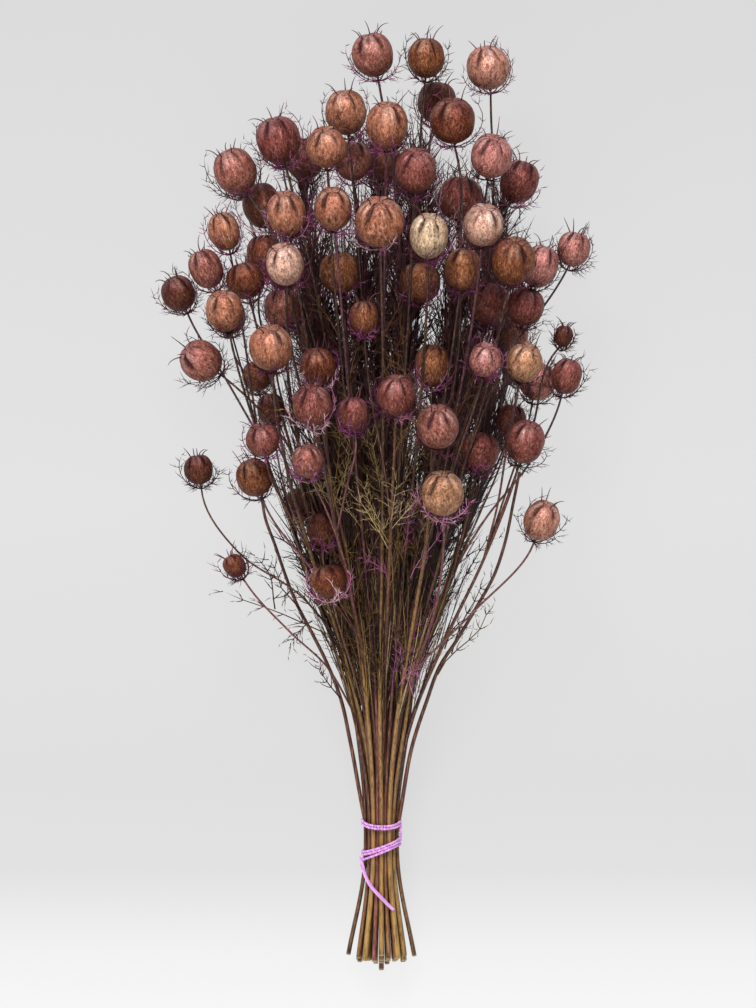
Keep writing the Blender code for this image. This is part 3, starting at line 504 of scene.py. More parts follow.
def add_skins(name, skins):
    """One mesh object from skins: each is (rings, first, last, values). Rings are (skin, ring,
    side, xyz), closed round and capped by a fan at the first and last points. Values are named
    numbers or colours for each point of each ring, kept as attributes."""
    points, corners, counts, base = [], [], [], 0
    values = {key: [] for key in skins[0][3]}
    for rings, first, last, named in skins:
        many, ring_count, sides = rings.shape[:3]
        points += [rings.reshape(-1, 3), first, last]
        index = base + np.arange(many * ring_count * sides).reshape(many, ring_count, sides)
        after = np.roll(index, -1, axis=2)
        quads = [index[:, :-1], after[:, :-1], after[:, 1:], index[:, 1:]]
        start = base + many * ring_count * sides
        poles = np.repeat(np.arange(start, start + 2 * many).reshape(2, many, 1), sides, 2)
        low = np.stack([after[:, 0], index[:, 0], poles[0]], -1).reshape(-1, 3)
        high = np.stack([index[:, -1], after[:, -1], poles[1]], -1).reshape(-1, 3)
        quads = np.stack(quads, -1).reshape(-1, 4)
        corners += [quads.ravel(), low.ravel(), high.ravel()]
        counts += [np.full(len(quads), 4), np.full(len(low) + len(high), 3)]
        for key, value in named.items():
            value = np.broadcast_to(value, rings.shape[:3] + np.shape(value)[3:])
            tail = value.shape[3:]
            values[key] += [value.reshape((-1,) + tail), value[:, 0, 0], value[:, -1, 0]]
        base = start + 2 * many
    corners, counts = np.concatenate(corners), np.concatenate(counts)
    mesh = bpy.data.meshes.new(name)
    mesh.vertices.add(base)
    mesh.vertices.foreach_set("co", np.concatenate(points).ravel())
    mesh.loops.add(len(corners))
    mesh.loops.foreach_set("vertex_index", corners.astype(np.int32))
    mesh.polygons.add(len(counts))
    starts = np.concatenate([[0], np.cumsum(counts)[:-1]])
    mesh.polygons.foreach_set("loop_start", starts.astype(np.int32))
    mesh.update(calc_edges=True)
    mesh.polygons.foreach_set("use_smooth", np.ones(len(counts), bool))
    for key, parts in values.items():
        data = np.concatenate(parts)
        kind = "FLOAT" if data.ndim == 1 else "FLOAT_COLOR"
        layer = mesh.attributes.new(key, kind, "POINT")
        if data.ndim == 2:
            data = np.concatenate([data, np.ones((len(data), 1))], 1)
        layer.data.foreach_set("value" if data.ndim == 1 else "color", data.ravel())
    mesh.update()
    piece = bpy.data.objects.new(name, mesh)
    bpy.context.scene.collection.objects.link(piece)
    return piece


def linear(text):
    """The linear red, green and blue of an sRGB hex colour."""
    value = np.array([int(text[i : i + 2], 16) for i in (1, 3, 5)]) / 255
    return tuple(np.where(value > 0.04045, ((value + 0.055) / 1.055) ** 2.4, value / 12.92))


def finish_of(name, roughness, **sockets):
    """A new material with a Principled shader, whose own sockets take the constant values."""
    material = bpy.data.materials.new(name)
    material.use_nodes = True
    shader = material.node_tree.nodes["Principled BSDF"]
    shader.inputs["Roughness"].default_value = roughness
    for socket, value in sockets.items():
        shader.inputs[socket.replace("_", " ")].default_value = value
    return material, shader


def add_node(material, kind, inputs=(), output=0, stops=(), **settings):
    """Adds a node with its settings, its inputs set to values or linked, and gives one output.
    Stops are the places and sRGB hex colours of a colour ramp."""
    node = material.node_tree.nodes.new(kind)
    for key, value in settings.items():
        setattr(node, key, value)
    for key, value in dict(inputs).items():
        if isinstance(value, bpy.types.NodeSocket):
            material.node_tree.links.new(value, node.inputs[key])
        else:
            node.inputs[key].default_value = value
    for place, _ in stops[1:-1]:
        node.color_ramp.elements.new(place)
    for index, (place, colour) in enumerate(stops):
        node.color_ramp.elements[index].position = place
        node.color_ramp.elements[index].color = (*linear(colour), 1)
    return node.outputs[output]


def tinted(material, colour, layers):
    """A colour with others laid over it in turn. A layer covers more as its value runs from one
    number to another, up to its most: (value, from, to, most, sRGB hex colour)."""
    for value, start, end, most, over in layers:
        share = add_node(material, "ShaderNodeMapRange", {"Value": value, 1: start, 2: end, 4: most})
        over = over if isinstance(over, bpy.types.NodeSocket) else (*linear(over), 1)
        inputs = {"Factor": share, 6: colour, 7: over}
        colour = add_node(material, "ShaderNodeMix", inputs, 2, data_type="RGBA")
    return colour


def dress(material, shader, colour, relief, depth):
    """Gives the shader its colour, and a bump whose relief is really depth deep."""
    bump = add_node(
        material, "ShaderNodeBump", {"Height": relief, "Distance": depth, "Strength": 0.6}
    )
    material.node_tree.links.new(colour, shader.inputs["Base Color"])
    material.node_tree.links.new(bump, shader.inputs["Normal"])


def grown_stems(first, last, steps, least_tone):
    """The paths, rings and tones of the stems from first to last. Each is a little thinner or
    thicker than its radii say."""
    paths, radii = [], []
    for strand in range(first, last):
        run = slice(bones.starts[strand], bones.starts[strand + 1])
        points, radius = smooth_path(bones.knots[run], steps, bones.radius[run])
        paths.append(points)
        radii.append(radius)
    paths = np.array(paths)
    thickness = draw.uniform(0.86, 1.12, (len(paths), 1))
    rings = round_skin(paths, np.array(radii) * thickness, STEM_SIDES, STEM_RIBS)
    return paths, rings, draw.uniform(least_tone, 1, (len(paths), 1, 1))


def stem_skin(paths, rings, tone, cut_end, deep):
    """Rings as a skin between the ends of their paths, with the values that colour them."""
    flat = np.zeros(rings.shape[:3])
    values = {"tone": flat + tone, "cut_end": flat + cut_end, "deep": flat + deep}
    return rings, paths[:, 0], paths[:, -1], values


stalks, rings, tone = grown_stems(0, STEM_COUNT, STEM_STEPS, KHAKI)
# Most outer stems are red-brown. Of the three uppermost above the tie, one is plum.
aside = np.abs(stalks[..., 0] - BUNDLE_ACROSS)
outer = (aside[:, STEM_STEPS // 2] > OUTER_HALFWAY) | (aside[:, -1] > OUTER_AT_POD)
tone[outer] = 0.45 + 0.4 * tone[outer]
upper = np.argsort(np.abs(stalks[:, ABOVE_TIE, 0]) - stalks[:, ABOVE_TIE, 2])[:3]
tone[upper, 0, 0] = KHAKI, PLUM, KHAKI
# The stem with the leftmost foot is red-brown, and the one that reaches lowest is plum.
tone[np.argmin(stalks[:, 0, 0])], tone[np.argmin(stalks[:, 0, 1])] = RED, PLUM
cut_end = (np.arange(STEM_STEPS) == 0)[None, :, None]
stem_skins = [stem_skin(stalks, rings, tone, cut_end, painted_shade_depth(rings))]
paths, rings, tone = grown_stems(STEM_COUNT, pod_count, SIDE_STEM_STEPS, SIDE_STEM_TONE)
stem_skins.append(stem_skin(paths, rings, tone, 0, painted_shade_depth(rings)))
paths = np.array([drawn_path(*row, STEM_STEPS) for row in EDGE_STALKS])
radii = np.linspace(*EDGE_STALK_RADII, STEM_STEPS) * MM * np.ones((len(paths), 1))
rings = round_skin(paths, radii, STEM_SIDES, STEM_RIBS)
stem_skins.append(stem_skin(paths, rings, RED, 0, 0))
stems = add_skins("stems", stem_skins)


def dried_stalk():
    """Dried herb stalk, ribbed and matt, of four sorts: khaki, tan, red-brown and, where the dye
    took best, plum. Each goes from pale at the foot to dark in the head. Fibres run along it,
    about 0.5 mm apart, and the cut ends are pale. Painted shade darkens the stems that lie
    deep under the bunch's upper side."""
    material, shader = finish_of("dried_stalk", 0.42)
    place = add_node(material, "ShaderNodeTexCoord", output="Object")
    height = add_node(material, "ShaderNodeSeparateXYZ", {"Vector": place}, "Y")
    tone, cut_end, deep = (
        add_node(material, "ShaderNodeAttribute", output="Fac", attribute_name=name)
        for name in ("tone", "cut_end", "deep")
    )
    mapped = {"Vector": place, "Scale": (1100, 22, 1100)}
    stretched = add_node(material, "ShaderNodeMapping", mapped)
    ribbed = {"Vector": stretched, "Scale": 1.0, "Detail": 3.0, "Roughness": 0.6}
    fibre = add_node(material, "ShaderNodeTexNoise", ribbed, "Fac")
    blotchy = {"Vector": place, "Scale": 1 / (9 * MM), "Detail": 3.0}
    cloud = add_node(material, "ShaderNodeTexNoise", blotchy, "Fac")
    share = add_node(material, "ShaderNodeMapRange", {"Value": height, 1: -0.3, 2: 0.2})
    sorts = [
        add_node(material, "ShaderNodeValToRGB", {"Fac": share}, "Color", stops)
        for stops in (
            ((0, "#C0964E"), (0.2, "#9C7240"), (0.4, "#A47C46"), (0.6, "#4C2A1C"), (1, "#3A181A")),
            ((0, "#B08244"), (0.2, "#784A2E"), (0.5, "#88583A"), (0.8, "#4A221C"), (1, "#441C20")),
            ((0, "#A07044"), (0.2, "#643628"), (0.5, "#5E342A"), (0.8, "#3A1A16"), (1, "#4A1A28")),
            ((0, "#A8645C"), (0.2, "#783E40"), (0.5, "#7A4248"), (0.8, "#602E42"), (1, "#6C3050")),
        )
    ]
    layers = (
        (tone, 0.16, 0.2, 1.0, sorts[1]),
        (tone, 0.5, 0.56, 1.0, sorts[2]),
        (tone, 0.82, 0.86, 1.0, sorts[3]),
        (cloud, 0.5, 0.75, 0.3, "#3E2414"),
        # painted shade: stems that lie deep under the bunch's upper side are darkened
        (deep, 0.2, 0.9, 0.7, "#1E120C"),
        (fibre, 0.46, 0.36, 0.25, "#CCA068"),
        (fibre, 0.49, 0.66, 0.75, "#20100A"),
        (cut_end, 0.8, 1.0, 0.75, "#E8D8A8"),
    )
    dress(material, shader, tinted(material, sorts[0], layers), fibre, 0.3 * MM)
    return material


stems.data.materials.append(dried_stalk())
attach(stems, "root")

# The pods: dried papery capsules of five fused chambers, blown up like small balloons. Their folds
# deepen towards the crown, where the five chambers part. Dyed, they have a soft bronze sheen.
# Each letter's colour is a dye, matched to how bright its pods look, so it also carries painted
# shade and painted light: D, the darkest, darkens pods that lie in shade deep in the bunch, and G
# and S, the palest, lighten pods that lie in the shade of others.
DYES_AND_PAINTED_SHADING = {
    "R": "#B26A5C", "C": "#CC8262", "T": "#DC9E74", "G": "#FFDAB0", "L": "#E49C84", "S": "#FFC6AC",
    "P": "#D6887E", "V": "#964F47", "B": "#945432", "O": "#AE6A44", "K": "#783A24", "U": "#904844",
    "D": "#5A2A20",
}
POD_ROUND, POD_RISE = 60, 17
CHAMBERS = 5
# Shares of the half width: the folds between the chambers and within them, and the wall's slow
# and quick waves. The crown sinks by a share of the half length in the folds.
DEEP_FOLD, SHALLOW_FOLD, SLOW_WAVE, QUICK_WAVE = 0.13, 0.08, 0.018, 0.012
CROWN_SINK = 0.025
# Width and height of a pod's outline, as shares of its half width and half length.
POD_OUTLINE = (
    (0.05, -1.0), (0.42, -0.9), (0.78, -0.63), (0.97, -0.25), (1.0, 0.1), (0.96, 0.42),
    (0.83, 0.7), (0.64, 0.88), (0.42, 0.97), (0.22, 0.96), (0.06, 0.92),
)


def pod_frames():
    """Each pod's own directions: along it, and two across it, the first as low as it can point."""
    way = bones.direction
    down = unit(np.array([0, 0, -1.0]) + way * way[:, 2:])
    return way, down, np.cross(way, down)


def pod_rings():
    """Each pod is its outline turned about its own line. Folds take a share off the width: five
    deep ones between the chambers and five shallow ones between those, narrow as the root of a
    sine, growing from the middle to the crown. Low waves dent the wall."""
    way, down, side = pod_frames()
    outline = smooth_path(np.array(POD_OUTLINE), POD_RISE)
    width, height = outline[None, :, 0, None], outline[None, :, 1, None]
    turn = np.arange(POD_ROUND) * 2 * math.pi / POD_ROUND
    many = (pod_count, 1, 1)
    wave = draw.uniform(0, 2 * math.pi, many)
    bent = turn + 0.12 * np.sin(2 * turn + wave) + 0.1 * height * np.sin(turn + 2 * wave)
    deep = np.abs(np.sin(bent * CHAMBERS / 2)) ** 0.6
    fine = np.abs(np.sin(bent * CHAMBERS + 0.6 * np.sin(turn * 3 + wave))) ** 0.7
    uneven = 1 + 0.5 * np.sin(turn * 2 + 3 * wave)
    reach = np.clip((height + 0.1) / 0.95, 0, 1)
    depth = draw.uniform(0.7, 1.25, many) * uneven
    cut = depth * (DEEP_FOLD * reach**1.5 * (1 - deep) + SHALLOW_FOLD * reach**1.3 * (1 - fine))
    cut = cut * np.clip((1.0 - height) / 0.15, 0.5, 1)
    # fine dark lines for the finer folds, which have no relief: painted shade
    painted_fold_lines = np.abs(np.sin(bent * 7.5 + 1.3 * np.sin(turn * 3 + wave))) ** 0.35
    dent = SLOW_WAVE * np.sin(turn * 3 + wave) * np.cos(3 * height)
    dent = dent + QUICK_WAVE * np.sin(turn * 8 - 2 * wave + 5 * height)
    spread = width * (1 - cut + dent)
    rise = height - CROWN_SINK * reach**4 * (1 - deep) * depth
    turned = np.stack([np.cos(turn), np.sin(turn)], -1)
    out = down[:, None, None] * turned[:, :1] + side[:, None, None] * turned[:, 1:]
    half_width = bones.half_width[:, None, None]
    half_length = bones.half_length[:, None, None]
    rings = bones.middle[:, None, None] + out * (spread * half_width)[..., None]
    rings = rings + way[:, None, None] * (rise * half_length)[..., None]
    rings[..., 2] = np.maximum(rings[..., 2], 0)
    own = np.stack([turned[:, 0] * spread, turned[:, 1] * spread, rise], -1)
    # Values for the colour: rise runs from base to crown; the folds' depth and the fine fold lines
    # set painted shade; the height over the pod's middle sets painted shade on the underside; the
    # crown's ridges get painted highlights, brighter on some ridges than others; each pod has its
    # dye.
    values = {
        "rise": 0.5 + 0.5 * height,
        "painted_fold_shade": np.clip(cut / 0.14 + 0.6 * np.clip(height + 0.5, 0, 1) * (1 - painted_fold_lines), 0, 1),
        "upper": (rings[..., 2] - bones.middle[:, 2][:, None, None]) / half_width,
        "painted_ridge_highlight": reach * deep * fine * (0.55 + 0.45 * np.sin(turn * 2 + 5 * wave)),
        "dye": np.array([linear(DYES_AND_PAINTED_SHADING[letter]) for letter in dye_and_shading_letters])[:, None, None],
        "husk": own + 4 * draw.uniform(0, 1, (pod_count, 1, 1, 3)),
    }
    return rings, rings[:, 0].mean(1), rings[:, -1].mean(1), values


pods = add_skins("seed_pods", [pod_rings()])


def dyed_husk():
    """Papery dried capsule wall, dyed and faintly bronzed. Fine fibres run from base to crown
    among cloudy patches and pale flecks. It is browner towards the base, with painted shade
    there too, and pinker at the crown. Painted shade darkens the folds, with fine dark lines
    for the finer folds, and the underside, and painted highlights make the crown's ridges pale."""
    material, shader = finish_of("dyed_husk", 0.44, Metallic=0.45, Specular_IOR_Level=0.15)
    dye, rise, painted_fold_shade, painted_ridge_highlight, upper, husk = (
        add_node(material, "ShaderNodeAttribute", output=output, attribute_name=name)
        for name, output in (
            ("dye", "Color"),
            ("rise", "Fac"),
            ("painted_fold_shade", "Fac"),
            ("painted_ridge_highlight", "Fac"),
            ("upper", "Fac"),
            ("husk", "Vector"),
        )
    )
    stretched = add_node(material, "ShaderNodeMapping", {"Vector": husk, "Scale": (10, 10, 5)})
    woven = {"Vector": stretched, "Scale": 1.0, "Detail": 4.0, "Roughness": 0.75, "Distortion": 0.8}
    fibre = add_node(material, "ShaderNodeTexNoise", woven, "Fac")
    blotchy = {"Vector": husk, "Scale": 2.4, "Detail": 6.0, "Roughness": 0.75}
    cloud = add_node(material, "ShaderNodeTexNoise", blotchy, "Fac")
    fleck = add_node(material, "ShaderNodeTexVoronoi", {"Vector": husk, "Scale": 13.0}, "Distance")
    pale = add_node(material, "ShaderNodeGamma", {"Color": dye, "Gamma": 0.5}, "Color")
    layers = (
        # darker and browner towards the base: the husk's own colour, and painted shade
        (rise, 0.8, 0.4, 0.42, "#5A3A1C"),
        (rise, 0.72, 1.0, 0.2, "#D8949A"),
        # painted highlight on the crown's ridges
        (painted_ridge_highlight, 0.25, 0.8, 0.9, pale),
        (cloud, 0.43, 0.62, 0.55, "#4A2018"),
        (fibre, 0.48, 0.34, 0.6, pale),
        (fibre, 0.5, 0.62, 0.7, "#341214"),
        (fleck, 0.2, 0.04, 0.35, pale),
        # painted shade on the pod's underside
        (upper, 0.8, -0.1, 0.2, "#2E1014"),
        # painted shade in the folds and along the fine fold lines
        (painted_fold_shade, 0.25, 0.9, 0.85, "#200A10"),
    )
    dress(material, shader, tinted(material, dye, layers), fibre, 0.6 * MM)
    return material


pods.data.materials.append(dyed_husk())
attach(pods, "root")

# The styles: the dry remains of the flower's five styles, one on each chamber. Each is a thin
# pointed strand that leaves the crown nearly upright and curls over, more or less.
STYLE_STEPS, STYLE_SIDES = 9, 4
STYLE_LENGTH = 12 * MM  # the usual length, on a pod whose half width is the same
STYLE_ENDS = 0.44 * MM, 0.12 * MM  # radii at the root and the tip
HIGHEST = 206 * MM
# The least height over the surface of each sort of thread, near its own radius.
LOWEST = {"style": 0.9 * MM, "rib": 0.5 * MM, "main": 0.4 * MM, "fork": 0.3 * MM}


def above_surface(paths, sort):
    """The same paths with nothing under the lowest height for their sort, or higher than the
    bunch."""
    paths[..., 2] = np.clip(paths[..., 2], LOWEST[sort], HIGHEST)
    return paths


def style_paths():
    """Five strands a pod, each an arc: it starts along the pod and turns evenly towards a way
    across it, so its place is the sine and one minus the cosine of the turned angle."""
    way, down, side = pod_frames()
    many = (pod_count, CHAMBERS)
    turn = (np.arange(CHAMBERS) * 2 * math.pi / CHAMBERS)[None] + draw.uniform(-0.3, 0.3, many)
    out = around(down[:, None], side[:, None], turn)
    ahead = unit(way[:, None] + out * draw.uniform(0.0, 0.7, many)[..., None])
    over = unit(out + np.cross(way[:, None], out) * draw.uniform(-1.2, 1.2, many)[..., None])
    over = unit(over - ahead * (over * ahead).sum(-1, keepdims=True))
    share = np.sqrt(bones.half_width / STYLE_LENGTH)[:, None]
    length = (STYLE_LENGTH * share * draw.uniform(0.55, 1.1, many))[..., None, None]
    bend = draw.uniform(0.1, 1.7, many)[..., None, None]
    t = np.linspace(0, 1, STYLE_STEPS)[:, None]
    root = bones.middle[:, None] + way[:, None] * (0.9 * bones.half_length)[:, None, None]
    root = root + out * (0.42 * bones.half_width)[:, None, None]
    path = ahead[:, :, None] * np.sin(bend * t) + over[:, :, None] * (1 - np.cos(bend * t))
    return (root[:, :, None] + length / bend * path).reshape(-1, STYLE_STEPS, 3)


spikes = above_surface(style_paths(), "style")
spike_tone = draw.uniform(0, 1, len(spikes))
styles = add_skins("styles", [thread_skin(spikes, STYLE_ENDS, spike_tone, STYLE_SIDES)])


def dry_thread(name, stops):
    """Dry stiff plant thread: its colour runs through the stops by the thread's own tone, with
    darker patches about 2 mm apart. Towards the heads the plum dye took better."""
    material, shader = finish_of(name, 0.55)
    place = add_node(material, "ShaderNodeTexCoord", output="Object")
    tone = add_node(material, "ShaderNodeAttribute", output="Fac", attribute_name="tone")
    speckled = {"Vector": place, "Scale": 1 / (2 * MM), "Detail": 2.0}
    grain = add_node(material, "ShaderNodeTexNoise", speckled, "Fac")
    colour = add_node(material, "ShaderNodeValToRGB", {"Fac": tone}, "Color", stops)
    height = add_node(material, "ShaderNodeSeparateXYZ", {"Vector": place}, "Y")
    layers = (height, 0.0, 0.13, 0.35, "#5A1A28"), (grain, 0.4, 0.7, 0.4, "#2A1416")
    colour = tinted(material, colour, layers)
    dress(material, shader, colour, grain, 0.1 * MM)
    return material


styles.data.materials.append(
    dry_thread("dry_style", ((0, "#32161A"), (0.6, "#5A2A30"), (1, "#94505C")))
)
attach(styles, "root")

# The ruffs: bracts cut into threads. Each leaves the stem just under its pod, bows out round the
# pod's lower half like a cup, and carries finer side threads, some of them forked.
BRACTS, BRACT_STEPS, SIDE_THREADS = 8, 9, 9
# Side threads and their forks: how many on each thread, points each, and least and most length
# and lean.
SIDE_THREAD_SORT = (SIDE_THREADS, 4, (3 * MM, 9 * MM), (0.35, 0.85))
FORK_SORT = (1, 3, (2 * MM, 4.5 * MM), (0.3, 0.8))
# Radii at the root and the tip of main threads, side threads and forks.
MAIN_ENDS, SIDE_ENDS, FORK_ENDS = (
    (root * MM, tip * MM) for root, tip in ((0.48, 0.22), (0.29, 0.14), (0.2, 0.1))
)
# How far from the bunch's middle the ruffs lose their dye, in mm, at places along it.
RUFF_EDGE = ((-40, 60), (140, 125))


def bract_paths():
    """The main threads of every ruff, on an egg a little wider than the pod: from straight below
    it the thread climbs round to beside or above its middle, and drifts round a little. Those on
    the upper side climb only half as far."""
    way, down, side = pod_frames()
    many = (pod_count, BRACTS, 1)
    t = np.linspace(0, 1, BRACT_STEPS)
    start = draw.uniform(0, 2 * math.pi, (pod_count, 1, 1))
    turn = start + np.arange(BRACTS)[None, :, None] * 2 * math.pi / BRACTS
    turn = turn + draw.uniform(-0.35, 0.35, many) + draw.uniform(-0.5, 0.5, many) * t**2
    upper = np.clip(-np.cos(turn[..., :1]), 0, 1)
    climb = -math.pi / 2 + t * (math.pi / 2 + draw.uniform(-0.1, 1.1, many)) * (1 - 0.5 * upper)
    wide = 1.06 + draw.uniform(0.03, 0.5, many) * t**1.4
    out = around(down[:, None, None], side[:, None, None], turn)
    width, length = bones.half_width[:, None, None], bones.half_length[:, None, None]
    path = bones.middle[:, None, None] + out * (np.cos(climb) * wide * width)[..., None]
    rise = np.sin(climb) * (wide * length + 2 * MM * (1 - t))
    return path + way[:, None, None] * rise[..., None]


def side_thread_paths(mains, count, steps, reach, lean):
    """Side threads from places spread along each main thread, leaning to either side in turn."""
    many = len(mains)
    forward, side, up = ring_frames(mains)
    at = np.linspace(0.22, 0.97, count)[None] + draw.uniform(-0.05, 0.05, (many, count))
    index = np.clip((at * (mains.shape[1] - 1)).round().astype(int), 0, mains.shape[1] - 1)
    row = np.arange(many)[:, None]
    root, ahead = mains[row, index], forward[row, index]
    turn = (np.arange(count) % 2)[None] * math.pi + draw.uniform(-1.0, 1.0, (many, count))
    out = around(side[row, index], up[row, index], turn)
    t = np.linspace(0, 1, steps)[None, None, :, None]
    size = draw.uniform(*reach, (many, count))[..., None, None]
    tilt = draw.uniform(*lean, (many, count))[..., None, None]
    curl = draw.uniform(-0.55, 0.55, (many, count, 1)) * np.cross(ahead, out) + 0.35 * ahead
    path = (1 - tilt) * ahead[:, :, None] * t + tilt * out[:, :, None] * t
    path = root[:, :, None] + size * path + size * curl[:, :, None] * t**2
    return path.reshape(-1, steps, 3)


def ruff_tones(mains):
    """How pale and pink each main thread is: by its pod, more the further it stands above the
    pod's middle, which paints light on the upper threads and shade on the lower ones, and less
    towards the bunch's edges and its far end."""
    middle = bones.middle
    painted_light_lift = (mains[:, BRACT_STEPS // 2 + 1, 2] - np.repeat(middle[:, 2], BRACTS)) / (14 * MM)
    central = 1.3 - 1.3 * (middle[:, 0] / read_off(RUFF_EDGE, middle[:, 1])) ** 2
    central = np.clip(central, 0.15, 1) * np.interp(middle[:, 1], (200 * MM, 260 * MM), (1, 0.6))
    # painted light and shade: threads that stand higher over their pod are paler
    tone = np.repeat(draw.uniform(0.1, 0.8, pod_count), BRACTS) + 0.4 * painted_light_lift
    tone = tone * np.repeat(central, BRACTS)
    return np.clip(tone + draw.uniform(-0.15, 0.2, len(mains)), 0, 1)


mains = above_surface(bract_paths().reshape(-1, BRACT_STEPS, 3), "main")
twigs = above_surface(side_thread_paths(mains, *SIDE_THREAD_SORT), "fork")
tips = above_surface(side_thread_paths(twigs, *FORK_SORT), "fork")
main_tone = ruff_tones(mains)
twig_tone = np.repeat(main_tone, SIDE_THREADS) + draw.uniform(-0.2, 0.2, len(twigs))
twig_tone = np.clip(twig_tone, 0, 1)
carried = np.isin(np.arange(pod_count), bones.pod_of[:STEM_COUNT])
ruffs = []
for name, chosen in (("ruffs", carried), ("side_ruffs", ~carried)):
    of_main = np.repeat(chosen, BRACTS)
    of_twig = np.repeat(of_main, SIDE_THREADS)
    skins = [
        thread_skin(mains[of_main], MAIN_ENDS, main_tone[of_main]),
        thread_skin(twigs[of_twig], SIDE_ENDS, twig_tone[of_twig]),
        thread_skin(tips[of_twig], FORK_ENDS, twig_tone[of_twig]),
    ]
    ruffs.append(add_skins(name, skins))
dyed_bract = dry_thread(
    "dyed_bract",
    ((0, "#260C0E"), (0.3, "#5A1C34"), (0.55, "#9C3E80"), (0.78, "#D480AE"), (1, "#FAD6D8")),
)
for piece in ruffs:
    piece.data.materials.append(dyed_bract)
    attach(piece, "root")

# The leaves: cut into threads like the ruffs. Each leaves a stem's joint, leans towards the heads
# and carries side threads. They are dense inside the bunch and stop above the tie. The inner ones
# take only the darkest tones, as painted shade.
LEAF_STEPS, LEAF_THREADS = 7, 10
# How far aside the leaves reach at places along the bunch, in mm, and how high.
LEAF_EDGE = (
    (-135, 24), (-100, 36), (-66, 52), (-40, 60), (10, 70), (60, 92), (140, 104), (200, 84),
    (250, 0),
)
LEAF_TOP = 172 * MM
# Three sorts grow from the stems: how many are drawn, from where to where along the bunch, the
# power that crowds them towards the first, their least and most length, all in mm, and lean.
LEAVES = (420, (-132, 215), 1.25, (22, 44), (0.25, 0.8))
INNER_LEAVES = (3400, (-100, 205), 0.62, (28, 50), (0.05, 0.45))
FINE_LEAVES = (7000, (-155, 190), 0.95, (50, 105), (0.0, 0.22))
# The most inner leaves that are kept, how high they start and how far aside they lie halfway,
# and how high the fine ones end.
INNER_MOST, INNER_HIGH, INNER_ASIDE = 1240, 76 * MM, 84 * MM
FINE_HIGH = 96 * MM
# The side threads of a leaf: how many, points each, least and most length and lean. The inner
# leaves have no forks on them.
LEAF_SORT = (LEAF_THREADS, 4, (6 * MM, 15 * MM), (0.3, 0.7))
SPRIG_SORT = (LEAF_THREADS, 4, (5 * MM, 12 * MM), (0.4, 0.8))
INNER_SORT = (LEAF_THREADS, 3, (12 * MM, 26 * MM), (0.15, 0.55))
LEAF_FORKS = (2, 3, (2 * MM, 6 * MM), (0.3, 0.7))
# Radii of the side threads at their roots, and of the fine leaves at both ends.
LEAF_RADIUS, SPRIG_RADIUS, PINK_RADIUS, INNER_RADIUS = 0.22 * MM, 0.42 * MM, 0.24 * MM, 0.5 * MM
FINE_ENDS = 0.42 * MM, 0.2 * MM
# Leaves that stand clear of the bunch: the heights of both ends in mm, their tone, and their
# places in the picture from the root out.
SPRIGS = (
    (45, 50, 0.35, (
        (332, 652), (319, 631), (309, 627), (290, 619), (273, 611), (250, 604), (222, 592),
    )),
    (45, 52, 0.5, (
        (438, 676), (447, 661), (461, 648), (472, 639), (482, 628), (487, 614), (485, 600),
    )),
    (45, 60, 0.3, ((452, 655), (458, 634), (465, 618), (474, 604), (480, 590), (492, 580))),
    (45, 60, 0.3, ((455, 600), (468, 572), (478, 556), (486, 541), (500, 538))),
    (50, 52, 0.3, ((312, 622), (304, 627), (298, 634), (290, 644))),
    (50, 55, 0.3, ((300, 612), (291, 600), (280, 588), (276, 572), (268, 560))),
    (50, 55, 0.3, ((274, 610), (272, 596), (271, 582), (266, 570), (254, 556))),
    (50, 55, 0.3, ((318, 618), (308, 604), (300, 594), (292, 590), (284, 596))),
    (50, 55, 0.3, ((312, 590), (304, 574), (298, 562), (290, 556))),
    (45, 50, 0.3, ((340, 700), (330, 688), (322, 676), (318, 664))),
    (45, 55, 0.3, ((445, 650), (452, 632), (462, 622), (470, 618))),
)
# Leaves over the stems and the lowest heads that took the dye as the ruffs did.
PINK_SPRIGS = (
    (66, 80, 0.62, ((392, 694), (393, 676), (396, 656), (395, 632))),
    (64, 76, 0.8, ((414, 700), (410, 685), (403, 668), (400, 644))),
    (64, 82, 0.58, ((419, 694), (416, 672), (413, 644), (420, 612))),
    (66, 76, 0.78, ((398, 688), (404, 679), (412, 672), (424, 668))),
    (72, 92, 0.5, ((428, 650), (430, 628), (434, 606), (436, 580))),
    (96, 104, 0.6, ((390, 586), (385, 572), (375, 564), (363, 557))),
    (98, 112, 0.72, ((410, 578), (418, 562), (430, 548), (440, 534), (446, 520))),
    (100, 112, 0.55, ((402, 552), (408, 532), (408, 514), (414, 498))),
)


def leaf_paths(count, stretch, crowd, reach, tilt):
    """Leaf ribs from points of the stems: along the stem plus outwards, bowed by the square.
    Those that would end beyond the leaves' edge or top are left out."""
    low, high = (end * MM for end in stretch)
    strand = draw.integers(0, len(stalks), count)
    height = low + (high - low) * draw.uniform(0, 1, count) ** crowd
    index = np.array([np.searchsorted(stalks[s][:, 1], y) for s, y in zip(strand, height)])
    index = np.clip(index, 2, STEM_STEPS - 3)
    root = stalks[strand, index]
    ahead = unit(stalks[strand, index + 1] - root)
    turn = draw.uniform(0, 2 * math.pi, count)
    side = unit(np.cross(ahead, (0.1, 0.2, 1.0)))
    out = around(side, np.cross(ahead, side), turn)
    t = np.linspace(0, 1, LEAF_STEPS)[None, :, None]
    size = draw.uniform(reach[0] * MM, reach[1] * MM, count)[:, None, None]
    lean = draw.uniform(*tilt, count)[:, None, None]
    bow = lean * draw.uniform(-0.5, 1.0, count)[:, None, None]
    path = root[:, None] + size * (ahead[:, None] * t + out[:, None] * (lean * t + bow * t**2))
    inside = np.abs(path[:, -1, 0] - BUNDLE_ACROSS) < read_off(LEAF_EDGE, path[:, -1, 1])
    return path[inside & (path[:, -1, 2] < LEAF_TOP)]


